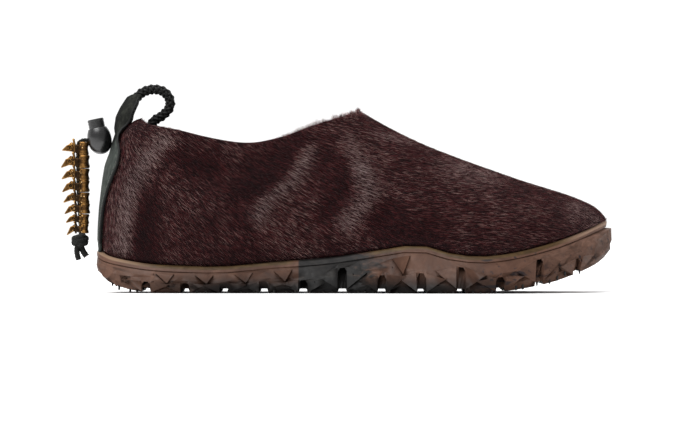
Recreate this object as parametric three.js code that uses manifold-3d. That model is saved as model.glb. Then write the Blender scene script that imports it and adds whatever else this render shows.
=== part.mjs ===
// A low slip-on shoe in short hair-on leather on a faceted rubber cup sole: the right shoe of a pair.
// Millimetres. The toe points to +X, the outer side to -Y, and the shoe stands on Z = 0.
// It is drawn with the heel's back at X = 0, and the group then moves its middle to the origin.
import * as THREE from 'three';
import { mergeVertices } from 'three/addons/utils/BufferGeometryUtils.js';
import Module from 'manifold-3d';

const wasm = await Module();
wasm.setup();

// Sole
const soleLength = 295.7;
const ballWidth = 104;
const rimAtToe = 40.6;
const toeSpring = 20.8;
const heelRound = 9.8;
const floorHeight = 9.4;
const rimWall = 3;
const bandHeight = 3.9;
const grooveDepth = 0.9;
const grooveWidth = 0.7;
const archLift = 2.4;
const archHalf = 26;
const sideBulge = 3.4;
const facetRelief = 0.8;
const toeSlant = 3;
// Lugs of the sole's side and bottom
const lugPitch = 22.4;
const firstGap = 28.6;
const gapCount = 12;
const gapWidth = 5.8;
const gapDepth = 2.6;
const gapDraft = 1;
const slotWidth = 5.6;
const slotDepth = 2;
const wedgeLength = 12;
const wedgeRaise = 1.9;
const lugRoot = 1.2;
const hangingHalf = 5.8;
const hangingMiddle = 0.8;
const tipRaise = 0.15;
const lugDraft = 0.08;
const slotDraft = 0.14;
const slotShoulder = 0.12;
const slotUnder = 0.3;
const tallSlots = [5, 8, 10];
// Upper
const wall = 2.4;
const overhang = 1.9;
const collarLength = 126;
const collarWidth = 63;
const collarBack = 24.3;
const instepHeight = 105;
const collarEdgeRound = 0.8;
// Insole
const insoleThickness = 4;
// Heel tab
const tabThickness = 1.4;
const tabGap = 0.45;
const leafOver = 14.52;
const leafLean = 13;
const leafWidth = 9;
// Pull loop
const ropeDiameter = 5.4;
// Cord lock
const toggleLevel = 0.73;
const toggleRadius = 6.6;
const toggleStand = 0.7;
const toggleTilt = 12;
const toggleHeight = 15.4;
const buttonRadius = 4.3;
const buttonShows = 5.2;
const buttonTravel = 2.4;
// Charm and its cord
const cordDiameter = 2.2;
const vertebraHeight = 6.75;
const vertebraRadius = 3;
const vertebraGap = 0.6;
const charmDrop = 2.5;
const processReach = 8.6;
const processDrop = 3;
const processThickness = 2;
const eyeRadius = 0.62;
const knotRadius = 4.6;
// Between pieces that touch
const gap = 0.3;
const cordClearance = 0.35;

const clamp = THREE.MathUtils.clamp;
const lerp = THREE.MathUtils.lerp;
const smoothstep = THREE.MathUtils.smoothstep;

// Half of the sole's outline, from the heel's back to the toe. along is a share of the sole's length,
// and outer and inner are shares of the ball's width, to each side of the line from heel to toe.
const outlineRows = [
  { along: 0, outer: 0, inner: 0 },
  { along: 0.012, outer: 0.165, inner: 0.165 },
  { along: 0.047, outer: 0.28, inner: 0.27 },
  { along: 0.115, outer: 0.35, inner: 0.335 },
  { along: 0.216, outer: 0.37, inner: 0.335 },
  { along: 0.338, outer: 0.37, inner: 0.305 },
  { along: 0.467, outer: 0.4, inner: 0.325 },
  { along: 0.595, outer: 0.468, inner: 0.405 },
  { along: 0.717, outer: 0.51, inner: 0.485 },
  { along: 0.812, outer: 0.468, inner: 0.495 },
  { along: 0.893, outer: 0.36, inner: 0.445 },
  { along: 0.95, outer: 0.215, inner: 0.35 },
  { along: 0.986, outer: 0.06, inner: 0.225 },
  { along: 1, outer: -0.08, inner: 0.08 },
];

// The collar's edge, point for point beside the outline's rows. along is a share of the collar's
// length, side a share of its width, and rise a share of the instep's height.
const collarRows = [
  { along: 0, side: 0, rise: 0.95 },
  { along: 0.012, side: 0.19, rise: 0.941 },
  { along: 0.06, side: 0.335, rise: 0.921 },
  { along: 0.163, side: 0.445, rise: 0.896 },
  { along: 0.33, side: 0.5, rise: 0.845 },
  { along: 0.505, side: 0.492, rise: 0.818 },
  { along: 0.66, side: 0.452, rise: 0.858 },
  { along: 0.777, side: 0.397, rise: 0.912 },
  { along: 0.865, side: 0.33, rise: 0.946 },
  { along: 0.923, side: 0.262, rise: 0.968 },
  { along: 0.966, side: 0.19, rise: 0.986 },
  { along: 0.988, side: 0.12, rise: 0.996 },
  { along: 0.998, side: 0.055, rise: 0.999 },
  { along: 1, side: 0, rise: 1 },
];

// The sole's height. rim is a share of the rim's height at the toe, spring of the toe spring, round of
// the heel's rounding, floor of the footbed's height, and arch of the arch's lift on the inner side.
const heightRows = [
  { along: 0, rim: 0.597, spring: 0, round: 1, floor: 1.75, arch: 0 },
  { along: 0.013, rim: 0.535, spring: 0, round: 0.66, floor: 1.62, arch: 0 },
  { along: 0.044, rim: 0.476, spring: 0, round: 0.32, floor: 1.38, arch: 0 },
  { along: 0.1, rim: 0.411, spring: 0, round: 0.03, floor: 1.16, arch: 0 },
  { along: 0.17, rim: 0.379, spring: 0, round: 0, floor: 1.02, arch: 0 },
  { along: 0.25, rim: 0.375, spring: 0, round: 0, floor: 1, arch: 0 },
  { along: 0.33, rim: 0.431, spring: 0, round: 0, floor: 1.04, arch: 0.25 },
  { along: 0.437, rim: 0.488, spring: 0, round: 0, floor: 1.12, arch: 1 },
  { along: 0.535, rim: 0.586, spring: 0, round: 0, floor: 1.16, arch: 0.55 },
  { along: 0.62, rim: 0.672, spring: 0, round: 0, floor: 1.14, arch: 0 },
  { along: 0.683, rim: 0.557, spring: 0, round: 0, floor: 1.06, arch: 0 },
  { along: 0.744, rim: 0.515, spring: 0, round: 0, floor: 1.04, arch: 0 },
  { along: 0.811, rim: 0.574, spring: 0.1, round: 0, floor: 1.16, arch: 0 },
  { along: 0.882, rim: 0.702, spring: 0.29, round: 0, floor: 1.5, arch: 0 },
  { along: 0.941, rim: 0.842, spring: 0.565, round: 0, floor: 2.1, arch: 0 },
  { along: 0.978, rim: 0.94, spring: 0.79, round: 0, floor: 2.75, arch: 0 },
  { along: 1, rim: 1, spring: 1, round: 0, floor: 3.25, arch: 0 },
];

// The upper's wall from the rim, level 0, to the collar, level 1, along four lines: at the heel, the
// side, the ball and the toe. These are shares of the way up from the rim to the collar.
const upRows = [
  { level: 0, heel: 0, side: 0, ball: 0, toe: 0 },
  { level: 0.1, heel: 0.12, side: 0.1, ball: 0.13, toe: 0.045 },
  { level: 0.2, heel: 0.25, side: 0.21, ball: 0.25, toe: 0.105 },
  { level: 0.3, heel: 0.38, side: 0.33, ball: 0.345, toe: 0.18 },
  { level: 0.42, heel: 0.51, side: 0.45, ball: 0.44, toe: 0.275 },
  { level: 0.55, heel: 0.65, side: 0.58, ball: 0.55, toe: 0.4 },
  { level: 0.68, heel: 0.78, side: 0.71, ball: 0.665, toe: 0.542 },
  { level: 0.8, heel: 0.885, side: 0.83, ball: 0.785, toe: 0.692 },
  { level: 0.91, heel: 0.955, side: 0.93, ball: 0.9, toe: 0.85 },
  { level: 1, heel: 1, side: 1, ball: 1, toe: 1 },
];

// The same lines' shares of the level way in from the rim to the collar, and how far the side swells past
// that, as a share of the ball's width.
const inRows = [
  { level: 0, heel: 0, side: 0, ball: 0, toe: 0, swell: 0 },
  { level: 0.1, heel: 0.005, side: 0, ball: 0.02, toe: 0.012, swell: 0.014 },
  { level: 0.2, heel: 0.02, side: 0.02, ball: 0.075, toe: 0.04, swell: 0.024 },
  { level: 0.3, heel: 0.065, side: 0.07, ball: 0.17, toe: 0.11, swell: 0.028 },
  { level: 0.42, heel: 0.12, side: 0.17, ball: 0.3, toe: 0.23, swell: 0.026 },
  { level: 0.55, heel: 0.195, side: 0.33, ball: 0.45, toe: 0.39, swell: 0.019 },
  { level: 0.68, heel: 0.32, side: 0.52, ball: 0.6, toe: 0.57, swell: 0.01 },
  { level: 0.8, heel: 0.43, side: 0.72, ball: 0.75, toe: 0.745, swell: 0.003 },
  { level: 0.91, heel: 0.62, side: 0.88, ball: 0.89, toe: 0.885, swell: 0 },
  { level: 1, heel: 1, side: 1, ball: 1, toe: 1, swell: 0 },
];

// Where the side's and the ball's line run, as shares of the way round from the heel to the toe.
const sideAt = 0.36;
const ballAt = 0.64;

// The heel tab on the heel: level is the upper's, half is its half width as a share of the way from the
// heel's back to the toe, measured round the shoe.
const tabRows = [
  { level: 0.012, half: 0.05 },
  { level: 0.12, half: 0.056 },
  { level: 0.26, half: 0.064 },
  { level: 0.38, half: 0.08 },
  { level: 0.5, half: 0.1 },
  { level: 0.6, half: 0.112 },
  { level: 0.69, half: 0.096 },
  { level: 0.76, half: 0.064 },
  { level: 0.82, half: 0.05 },
];

// The leaf that stands free above them. rise is a share of the way from the last row to leafOver above
// the collar, lean of its lean to the toe, wrap and half of its width: how far it curls forward, and its
// half width.
const leafRows = [
  { rise: 0.14, lean: 0.04, wrap: 0.42, half: 1 },
  { rise: 0.32, lean: 0.09, wrap: 0.74, half: 1 },
  { rise: 0.5, lean: 0.16, wrap: 1, half: 0.94 },
  { rise: 0.7, lean: 0.26, wrap: 0.94, half: 0.8 },
  { rise: 0.87, lean: 0.44, wrap: 0.8, half: 0.6 },
  { rise: 1, lean: 0.58, wrap: 0.64, half: 0.5 },
];

// The pull loop's centre line, measured from the collar's edge at the heel: from inside the leaf to
// inside the heel.
const loopRoute = [
  [-3.7, 0, 7.8], [-1.7, 0, 11.4], [0.3, 0, 14.2], [2.7, 0, 16.2], [6.1, 0, 17.3], [9.7, 0, 17.2],
  [13.1, 0, 16], [15.7, 0, 13.4], [16.9, 0, 10.1], [16.4, 0, 6.8], [14.4, 0, 4.1], [11.6, 0, 1.7],
  [8.8, 0, -0.6], [6.6, 0, -3.4], [4.7, 0, -7.2], [2.3, 0, -11.8],
];

// The cord's centre line, measured from the tab's face beside the cord lock: out of the tab, through the
// lock, over the first vertebra and down. It hangs from the point that hangingFrom counts.
const cordRoute = [
  [-0.9, 0, 0], [-5.9, 0, 0], [-10.9, 0, 0], [-13.3, 0, 0.1], [-15.5, 0, 0.5], [-17.8, 0, 0.1],
  [-19.5, 0, -1.3], [-20, 0, -3.4], [-20, 0, -7.4], [-20, 0, -13.2], [-19.9, 0, -19.4], [-19.8, 0, -26],
  [-19.5, 0, -32.6], [-19.1, 0, -38.6], [-18.8, 0, -44.6], [-18.5, 0, -50.4], [-18.4, 0, -53.8],
];
const hangingFrom = 7;

// The cord's two tails below its knot, measured from the same point.
const tailRoutes = [
  [[-19.9, -0.6, -61.4], [-20, -0.8, -65], [-19.7, -1, -67.4], [-19.1, -1.1, -69.2]],
  [[-17.3, 0.9, -61.4], [-16.3, 1, -64.8], [-15.3, 1, -66.8], [-14.5, 0.9, -68.4]],
];

// The charm from the top down: size is a share of the first vertebra's height.
const vertebraRows = [
  { size: 1, drop: 0.1 },
  { size: 1.01, drop: 1 },
  { size: 0.92, drop: 1 },
  { size: 0.92, drop: 1 },
  { size: 0.8, drop: 1 },
  { size: 0.77, drop: 1 },
  { size: 0.72, drop: 0.9 },
  { size: 0.74, drop: 1.3 },
];

const colours = {
  gum: new THREE.MeshStandardMaterial({ color: 0x6e5044, roughness: 0.55, metalness: 0 }),
  lining: new THREE.MeshStandardMaterial({ color: 0x2a2426, roughness: 0.9, metalness: 0 }),
  hair: new THREE.MeshStandardMaterial({ color: 0x3a1a1d, roughness: 0.85, metalness: 0 }),
  leather: new THREE.MeshStandardMaterial({ color: 0x3b413d, roughness: 0.6, metalness: 0 }),
  rope: new THREE.MeshStandardMaterial({ color: 0x121212, roughness: 0.9, metalness: 0 }),
  plastic: new THREE.MeshStandardMaterial({ color: 0x2c2c2e, roughness: 0.45, metalness: 0 }),
  brass: new THREE.MeshStandardMaterial({ color: 0x96703a, roughness: 0.35, metalness: 0.9 }),
};

// A smooth curve through one column of a table, as a function of another.
function through(rows, by, key) {
  const xs = rows.map((row) => row[by]);
  const ys = rows.map((row) => row[key]);
  const slopes = ys.map((_, i) => {
    const before = Math.max(i - 1, 0);
    const after = Math.min(i + 1, ys.length - 1);
    return (ys[after] - ys[before]) / (xs[after] - xs[before]);
  });
  return (x) => {
    let i = 0;
    while (i < xs.length - 2 && x > xs[i + 1]) i += 1;
    const width = xs[i + 1] - xs[i];
    const s = clamp((x - xs[i]) / width, 0, 1);
    const bend = width * s * (1 - s) * ((1 - s) * slopes[i] - s * slopes[i + 1]);
    return lerp(ys[i], ys[i + 1], s * s * (3 - 2 * s)) + bend;
  };
}

// A closed curve through a table's rows, along the outer side to the toe and back along the inner side.
function closedCurve(rows, outer, inner) {
  const back = rows.slice(1, -1).reverse();
  const points = [...rows.map(outer), ...back.map(inner)];
  return new THREE.CatmullRomCurve3(points, true, 'centripetal');
}

function mesh(name, geometry, material) {
  const made = new THREE.Mesh(geometry, material);
  made.name = name;
  return made;
}

function geometryOf(positions, indices) {
  const geometry = new THREE.BufferGeometry();
  geometry.setAttribute('position', new THREE.Float32BufferAttribute(positions, 3));
  geometry.setIndex(indices);
  return geometry;
}

function solidOf(geometry) {
  const bare = geometry.clone();
  bare.deleteAttribute('normal');
  bare.deleteAttribute('uv');
  const merged = mergeVertices(bare, 1e-4);
  return new wasm.Manifold(new wasm.Mesh({
    numProp: 3,
    vertProperties: merged.attributes.position.array,
    triVerts: new Uint32Array(merged.index.array),
  }));
}

function geometryFrom(solid) {
  const result = solid.getMesh();
  return geometryOf([...result.vertProperties], [...result.triVerts]);
}

// A solid between rings of points, each ring as long as the others, joined last to first.
function ringSolid(rings) {
  const count = rings[0].length;
  const positions = rings.flat().flatMap((p) => [p.x, p.y, p.z]);
  const indices = [];
  rings.forEach((ring, r) => {
    const next = (r + 1) % rings.length;
    for (let i = 0; i < count; i += 1) {
      const a = r * count + i;
      const b = r * count + ((i + 1) % count);
      const c = next * count + i;
      const d = next * count + ((i + 1) % count);
      indices.push(a, b, d, a, d, c);
    }
  });
  return geometryOf(positions, indices);
}

// A solid between rings, closed at both ends by strips that run from one side of the shoe to the other.
// across says how many cells a strip has, and shape moves a point of the first ring's cover.
function coveredSolid(rings, across, shape) {
  const count = rings[0].length;
  const half = count / 2;
  const points = rings.flat();
  const indices = [];
  for (let r = 0; r < rings.length - 1; r += 1) {
    for (let i = 0; i < count; i += 1) {
      const a = r * count + i;
      const b = r * count + ((i + 1) % count);
      indices.push(a, b, b + count, a, b + count, a + count);
    }
  }
  const cover = (ring, base, cells, move, flip) => {
    const rows = [];
    for (let i = 0; i <= half; i += 1) {
      const ends = [base + i, base + ((count - i) % count)];
      const row = [ends[0]];
      for (let k = 1; k < cells && i > 0 && i < half; k += 1) {
        const p = ring[i].clone().lerp(ring[count - i], k / cells);
        points.push(move ? move(p) : p);
        row.push(points.length - 1);
      }
      if (i > 0 && i < half) row.push(ends[1]);
      rows.push(row);
    }
    const face = (a, b, c) => {
      indices.push(...(flip ? [a, c, b] : [a, b, c]));
    };
    for (let i = 0; i < half; i += 1) {
      const [low, high] = [rows[i], rows[i + 1]];
      for (let k = 0; k < Math.max(low.length, high.length) - 1; k += 1) {
        const [a, b] = low.length > 1 ? [low[k], low[k + 1]] : [low[0], low[0]];
        const [c, d] = high.length > 1 ? [high[k], high[k + 1]] : [high[0], high[0]];
        if (a !== b) face(a, c, b);
        if (c !== d) face(b, c, d);
      }
    }
  };
  cover(rings[0], 0, across, shape, true);
  cover(rings[rings.length - 1], (rings.length - 1) * count, 1, null, false);
  return geometryOf(points.flatMap((p) => [p.x, p.y, p.z]), indices);
}

// The sole's outline at its widest, and its heights along the shoe.
const outline = closedCurve(
  outlineRows,
  (row) => new THREE.Vector3(row.along * soleLength, -row.outer * ballWidth, 0),
  (row) => new THREE.Vector3(row.along * soleLength, row.inner * ballWidth, 0),
);
const collar = closedCurve(
  collarRows,
  (row) => new THREE.Vector3(
    collarBack + row.along * collarLength, -row.side * collarWidth, row.rise * instepHeight),
  (row) => new THREE.Vector3(
    collarBack + row.along * collarLength, row.side * collarWidth, row.rise * instepHeight),
);
const rimShare = through(heightRows, 'along', 'rim');
const springShare = through(heightRows, 'along', 'spring');
const roundShare = through(heightRows, 'along', 'round');
const floorShare = through(heightRows, 'along', 'floor');
const archShare = through(heightRows, 'along', 'arch');
const rimHeight = (x) => rimAtToe * rimShare(x / soleLength);
const treadHeight = (x) => (
  toeSpring * Math.max(springShare(x / soleLength), 0) + heelRound * Math.max(roundShare(x / soleLength), 0));
const footbed = (x) => floorHeight * floorShare(x / soleLength);

function outwardAt(turn) {
  const along = outline.getTangent(turn);
  return new THREE.Vector3(along.y, -along.x, 0).normalize();
}

// A point beside the outline: inset is measured inwards from it.
function besideOutline(turn, inset, height) {
  const point = outline.getPoint(turn);
  const made = point.clone().addScaledVector(outwardAt(turn), -inset);
  made.z = height(point.x);
  return made;
}

// A point beside the rim, which slants in over the toe.
function besideRim(turn, inset, height) {
  const slant = toeSlant * smoothstep(outline.getPoint(turn).x / soleLength, 0.88, 1);
  return besideOutline(turn, inset + slant, height);
}

function turns(count) {
  return Array.from({ length: count }, (_, i) => i / count);
}

const outlinePoints = 2 * (outlineRows.length - 1);

// The sole's side from tread to rim: up is a share of the way from the tread to the groove, inset a
// share of how far the side swells, and facets how far each column of four stands out, as a share of
// the facets' relief.
const sideRows = [
  { up: 0, inset: 1, facets: [0, 0, 0, 0] },
  { up: 0.26, inset: 0.3, facets: [1, -1, 0, 1] },
  { up: 0.62, inset: 0.02, facets: [-1, 0.6, 1, -1] },
  { up: 1, inset: 0.12, facets: [0, 0, 0, 0] },
];
const insetShare = through(sideRows, 'up', 'inset');

// The lugs beside a slot of the sole's side, and the slot: shares of the way from the tread to the groove.
const slotRows = {
  low: { base: 0.04, apex: 0.42, top: 0.5, slot: 0.5 },
  tall: { base: 0.16, apex: 0.6, top: 0.86, slot: 0.84 },
};

// A lug that hangs from the groove: along is a share of its half width, up of the way from the tread to
// the groove, and raise of how far the lugs stand out.
const hangingRows = [
  { along: -1, up: 0.92, raise: 0.35 },
  { along: 0.9, up: 0.94, raise: 0.35 },
  { along: 0.2, up: 0.46, raise: 1 },
];

function sideInset(up) {
  return sideBulge * insetShare(up);
}

function grooveHeight(x) {
  return rimHeight(x) - bandHeight;
}

function bareSole() {
  const round = turns(outlinePoints * 3);
  const grooveTop = (x) => grooveHeight(x) + grooveWidth;
  const sides = sideRows.map((row) => round.map((turn, i) => besideOutline(
    turn,
    sideBulge * row.inset - facetRelief * row.facets[i % row.facets.length],
    (x) => lerp(treadHeight(x), grooveHeight(x), row.up),
  )));
  const level = (inset, height) => round.map((turn) => besideRim(turn, inset, height));
  const band = sideBulge * 0.1;
  const rings = [
    ...sides,
    level(grooveDepth + band, (x) => grooveHeight(x) + grooveWidth * 0.4),
    level(band, grooveTop),
    level(band, (x) => rimHeight(x) - grooveWidth),
    level(band + grooveWidth, rimHeight),
    level(rimWall, rimHeight),
    level(rimWall, footbed),
  ];
  const arch = (p) => {
    p.z += archLift * Math.max(archShare(p.x / soleLength), 0) * clamp(p.y / archHalf, 0, 1);
    return p;
  };
  return solidOf(coveredSolid(rings, 4, arch));
}

// A convex solid between two faces with the same number of corners, the second one outermost.
function wedgeBetween(inner, outer) {
  const n = inner.length;
  const positions = [...inner, ...outer].flatMap((p) => [p.x, p.y, p.z]);
  const indices = [];
  for (let i = 1; i < n - 1; i += 1) indices.push(0, i + 1, i, n, n + i, n + i + 1);
  for (let i = 0; i < n; i += 1) {
    const j = (i + 1) % n;
    indices.push(i, j, n + j, i, n + j, n + i);
  }
  const solid = solidOf(geometryOf(positions, indices));
  if (solid.volume() > 0) return solid;
  for (let i = 0; i < indices.length; i += 3) [indices[i], indices[i + 1]] = [indices[i + 1], indices[i]];
  return solidOf(geometryOf(positions, indices));
}

// Where the outline passes x on one side: outer runs over the first half of the turn, inner the second.
function turnAt(x, inner) {
  let [low, high] = [0, 0.5];
  for (let i = 0; i < 40; i += 1) {
    const middle = (low + high) / 2;
    if (outline.getPoint(inner ? 1 - middle : middle).x < x) low = middle;
    else high = middle;
  }
  return inner ? 1 - low : low;
}

// Places points of the sole's side: along it from x, up from the tread, out from its widest line.
function sideFrame(x, inner) {
  const turn = turnAt(x, inner);
  const origin = outline.getPoint(turn);
  const out = outwardAt(turn);
  const along = outline.getTangent(turn);
  if (along.x < 0) along.negate();
  return (s, up, n) => {
    const p = origin.clone().addScaledVector(along, s).addScaledVector(out, n);
    p.z = lerp(treadHeight(p.x), grooveHeight(p.x), up);
    return p;
  };
}

// The two lugs beside a slot, each a triangle whose tip runs down into the side.
function sideLugs(x, inner, shape) {
  const at = sideFrame(x, inner);
  const { base, apex, top } = shape;
  return [-1, 1].map((way) => {
    const from = way * (slotWidth / 2);
    const to = way * (slotWidth / 2 + wedgeLength);
    const corners = [[from, base, 1], [from, top, 1], [to, apex, tipRaise]];
    const inside = corners.map(([s, up]) => at(s, up, -sideInset(up) - lugRoot));
    const outside = corners.map(([s, up, raise]) => at(
      lerp(s, from, lugDraft), up, raise * wedgeRaise - sideInset(up)));
    return wedgeBetween(inside, outside);
  });
}

// A lug that hangs from the groove, half way between two gaps.
function hangingLug(x, inner) {
  const at = sideFrame(x + lugPitch / 2, inner);
  const inside = hangingRows.map(({ along, up }) => at(
    along * hangingHalf, up, -sideInset(up) - lugRoot));
  const outside = hangingRows.map(({ along, up, raise }) => at(
    along * hangingHalf * (1 - lugDraft),
    lerp(up, hangingMiddle, lugDraft),
    raise * wedgeRaise - sideInset(up),
  ));
  return wedgeBetween(inside, outside);
}

function sideSlot(x, inner, shape) {
  const at = sideFrame(x, inner);
  const half = slotWidth / 2;
  const shoulder = shape.slot - slotShoulder;
  const corners = [
    [-half, -slotUnder], [half, -slotUnder], [half, shoulder], [half / 2, shape.slot],
    [-half / 2, shape.slot], [-half, shoulder],
  ];
  const inside = corners.map(([s, up]) => at(
    s * (1 - slotDraft), up, -slotDepth - sideInset(Math.max(up, 0))));
  const outside = corners.map(([s, up]) => at(s, up, sideBulge));
  return wedgeBetween(inside, outside);
}

function treadGap(x) {
  const slope = Math.atan((treadHeight(x + 1) - treadHeight(x - 1)) / 2);
  const profile = new THREE.Shape([
    new THREE.Vector2(-gapWidth / 2 - gapDraft, -gapDepth),
    new THREE.Vector2(gapWidth / 2 + gapDraft, -gapDepth),
    new THREE.Vector2(gapWidth / 2 - gapDraft, gapDepth),
    new THREE.Vector2(-gapWidth / 2 + gapDraft, gapDepth),
  ]);
  const bar = new THREE.ExtrudeGeometry(profile, { depth: 2 * ballWidth, bevelEnabled: false });
  bar.translate(0, 0, -ballWidth);
  bar.rotateX(Math.PI / 2);
  bar.rotateY(-slope);
  bar.translate(x, 0, treadHeight(x));
  return solidOf(bar);
}

function outsole() {
  let sole = bareSole();
  const gaps = Array.from({ length: gapCount }, (_, i) => ({
    x: firstGap + i * lugPitch,
    shape: tallSlots.includes(i) ? slotRows.tall : slotRows.low,
    hanging: i < gapCount - 1 && !tallSlots.includes(i) && !tallSlots.includes(i + 1),
  }));
  gaps.forEach(({ x, shape, hanging }) => {
    [false, true].forEach((inner) => {
      sideLugs(x, inner, shape).forEach((lug) => {
        sole = sole.add(lug);
      });
      if (hanging) sole = sole.add(hangingLug(x, inner));
    });
  });
  gaps.forEach(({ x, shape }) => {
    sole = sole.subtract(treadGap(x));
    [false, true].forEach((inner) => {
      sole = sole.subtract(sideSlot(x, inner, shape));
    });
  });
  return mesh('outsole', geometryFrom(sole), colours.gum);
}

// The upper's outer face, from the rim at level 0 to the collar at level 1.
const columnsOf = (rows) => Object.fromEntries(
  Object.keys(rows[0]).slice(1).map((key) => [key, through(rows, 'level', key)]));
const upAt = columnsOf(upRows);
const inAt = columnsOf(inRows);

function upperPoint(turn, level) {
  const half = turn < 0.5 ? 2 * turn : 2 - 2 * turn;
  const foot = besideRim(turn, rimWall + gap - overhang, (x) => rimHeight(x) + overhang);
  const top = collar.getPoint(turn);
  const blend = (heel, side, ball, toe) => {
    if (half < sideAt) return lerp(heel, side, smoothstep(half, 0, sideAt));
    if (half < ballAt) return lerp(side, ball, smoothstep(half, sideAt, ballAt));
    return lerp(ball, toe, smoothstep(half, ballAt, 1));
  };
  const share = (at) => blend(at.heel(level), at.side(level), at.ball(level), at.toe(level));
  const swell = blend(0, inAt.swell(level), 0, 0) * ballWidth;
  const point = foot.clone().lerp(top, share(inAt)).addScaledVector(outwardAt(turn), swell);
  point.z = lerp(foot.z, top.z, share(upAt));
  return point;
}

function upperNormal(turn, level) {
  const step = 0.004;
  const low = Math.max(level - step, 0);
  const high = Math.min(level + step, 1);
  const round = upperPoint((turn + step) % 1, level).sub(upperPoint((turn + 1 - step) % 1, level));
  const rising = upperPoint(turn, high).sub(upperPoint(turn, low));
  return round.cross(rising).normalize();
}

function upper() {
  const round = turns(outlinePoints * 3);
  const inset = rimWall + gap;
  const level = (extra, height) => round.map((turn) => besideRim(turn, inset + extra, height));
  const low = (x) => footbed(x) + gap;
  const shoulder = (x) => rimHeight(x) + gap;
  const outside = upRows.map((row) => round.map((turn) => upperPoint(turn, row.level)));
  const innerRows = upRows.filter((_, i) => i % 2 === 0 || i === upRows.length - 1);
  const inside = innerRows.map((row) => round.map((turn) => (
    upperPoint(turn, row.level).addScaledVector(upperNormal(turn, row.level), -wall))));
  const edge = round.map((turn) => {
    const made = upperPoint(turn, 1).addScaledVector(upperNormal(turn, 1), -wall / 2);
    made.z += collarEdgeRound;
    return made;
  });
  const rings = [
    level(0, low),
    level(0, shoulder),
    ...outside,
    edge,
    ...inside.reverse(),
    level(wall, shoulder),
    level(wall, low),
  ];
  return mesh('upper', ringSolid(rings), colours.hair);
}

function insole() {
  const round = turns(outlinePoints * 2);
  const inset = rimWall + wall + 2 * gap;
  const level = (extra, lift) => round.map((turn) => (
    besideRim(turn, inset + extra, (x) => footbed(x) + lift)));
  const rings = [
    level(0, gap),
    level(0, insoleThickness - gap),
    level(0.8, insoleThickness + gap),
  ];
  return mesh('insole', geometryFrom(solidOf(coveredSolid(rings, 1, null))), colours.lining);
}

// The heel tab: a strip that lies on the heel and a leaf that stands free above it.
function heelTab() {
  const cells = 8;
  const across = Array.from({ length: cells + 1 }, (_, i) => -1 + (2 * i) / cells);
  const onHeel = (lift) => tabRows.map((row) => across.map((a) => {
    const turn = (1 - a * row.half / 2) % 1;
    return upperPoint(turn, row.level).addScaledVector(upperNormal(turn, row.level), lift);
  }));
  const lastRow = tabRows[tabRows.length - 1];
  const root = upperPoint(0, lastRow.level);
  root.addScaledVector(upperNormal(0, lastRow.level), tabGap + tabThickness);
  const leaf = (inward) => leafRows.map((row) => across.map((a) => {
    const turn = a * Math.PI / 2;
    return new THREE.Vector3(
      root.x + leafLean * row.lean + inward + (leafWidth * row.wrap - inward) * (1 - Math.cos(turn)),
      (leafWidth * row.half - inward) * Math.sin(turn),
      lerp(root.z, collar.getPoint(0).z + leafOver, row.rise),
    );
  }));
  const outside = [...onHeel(tabGap + tabThickness), ...leaf(0)];
  const inside = [...onHeel(tabGap), ...leaf(tabThickness)];
  const rings = outside.map((row, i) => [...row, ...inside[i].slice().reverse()]);
  return mesh('heel_tab', cappedRings(rings), colours.leather);
}

// A solid between rings whose ends are closed across: each ring runs out along one face and back along
// the other.
function cappedRings(rings) {
  const count = rings[0].length;
  const positions = rings.flat().flatMap((p) => [p.x, p.y, p.z]);
  const indices = [];
  for (let r = 0; r < rings.length - 1; r += 1) {
    for (let i = 0; i < count; i += 1) {
      const a = r * count + i;
      const b = r * count + ((i + 1) % count);
      indices.push(a, b + count, b, a, a + count, b + count);
    }
  }
  const end = (base, flip) => {
    for (let i = 0; i < count / 2 - 1; i += 1) {
      const [a, b, c, d] = [base + i, base + i + 1, base + count - 2 - i, base + count - 1 - i];
      indices.push(...(flip ? [a, b, c, a, c, d] : [a, c, b, a, d, c]));
    }
  };
  end(0, true);
  end((rings.length - 1) * count, false);
  return geometryOf(positions, indices);
}

function tube(route, diameter, sides, steps) {
  const path = new THREE.CatmullRomCurve3(route.map((p) => new THREE.Vector3(...p)), false, 'centripetal');
  const section = new THREE.Shape(Array.from({ length: sides }, (_, i) => {
    const turn = (2 * Math.PI * i) / sides;
    return new THREE.Vector2(Math.cos(turn) * diameter / 2, Math.sin(turn) * diameter / 2);
  }));
  return new THREE.ExtrudeGeometry(section, { steps, bevelEnabled: false, extrudePath: path });
}

// A route in place, measured from a point.
function placed(route, from) {
  return route.map(([x, y, z]) => [from.x + x, from.y + y, from.z + z]);
}

function pullLoop() {
  const route = placed(loopRoute, collar.getPoint(0));
  return mesh('pull_loop', geometryFrom(solidOf(tube(route, ropeDiameter, 8, 20))), colours.rope);
}

// The cord lock stands on its own axis, which leans back, with the cord's hole level through it.
const tabFace = upperPoint(0, toggleLevel)
  .addScaledVector(upperNormal(0, toggleLevel), tabGap + tabThickness);
const toggleCentre = tabFace.clone().add(new THREE.Vector3(-toggleRadius - toggleStand, 0, 0));
const cordLine = placed(cordRoute, tabFace);
const holeHeight = cordLine[0][2] - toggleCentre.z;
const toggleTop = toggleHeight / 2;
const wellFloor = holeHeight + cordDiameter / 2 + cordClearance
  + buttonRadius * Math.tan(THREE.MathUtils.degToRad(toggleTilt)) + gap;

function leaning(solid) {
  return solid.rotate([0, -toggleTilt, 0]).translate(toggleCentre.toArray());
}

function lathe(profile, segments) {
  const points = profile.map(([r, z]) => new THREE.Vector2(r, z));
  const geometry = new THREE.LatheGeometry(points, segments);
  geometry.rotateX(Math.PI / 2);
  return solidOf(geometry);
}

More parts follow.
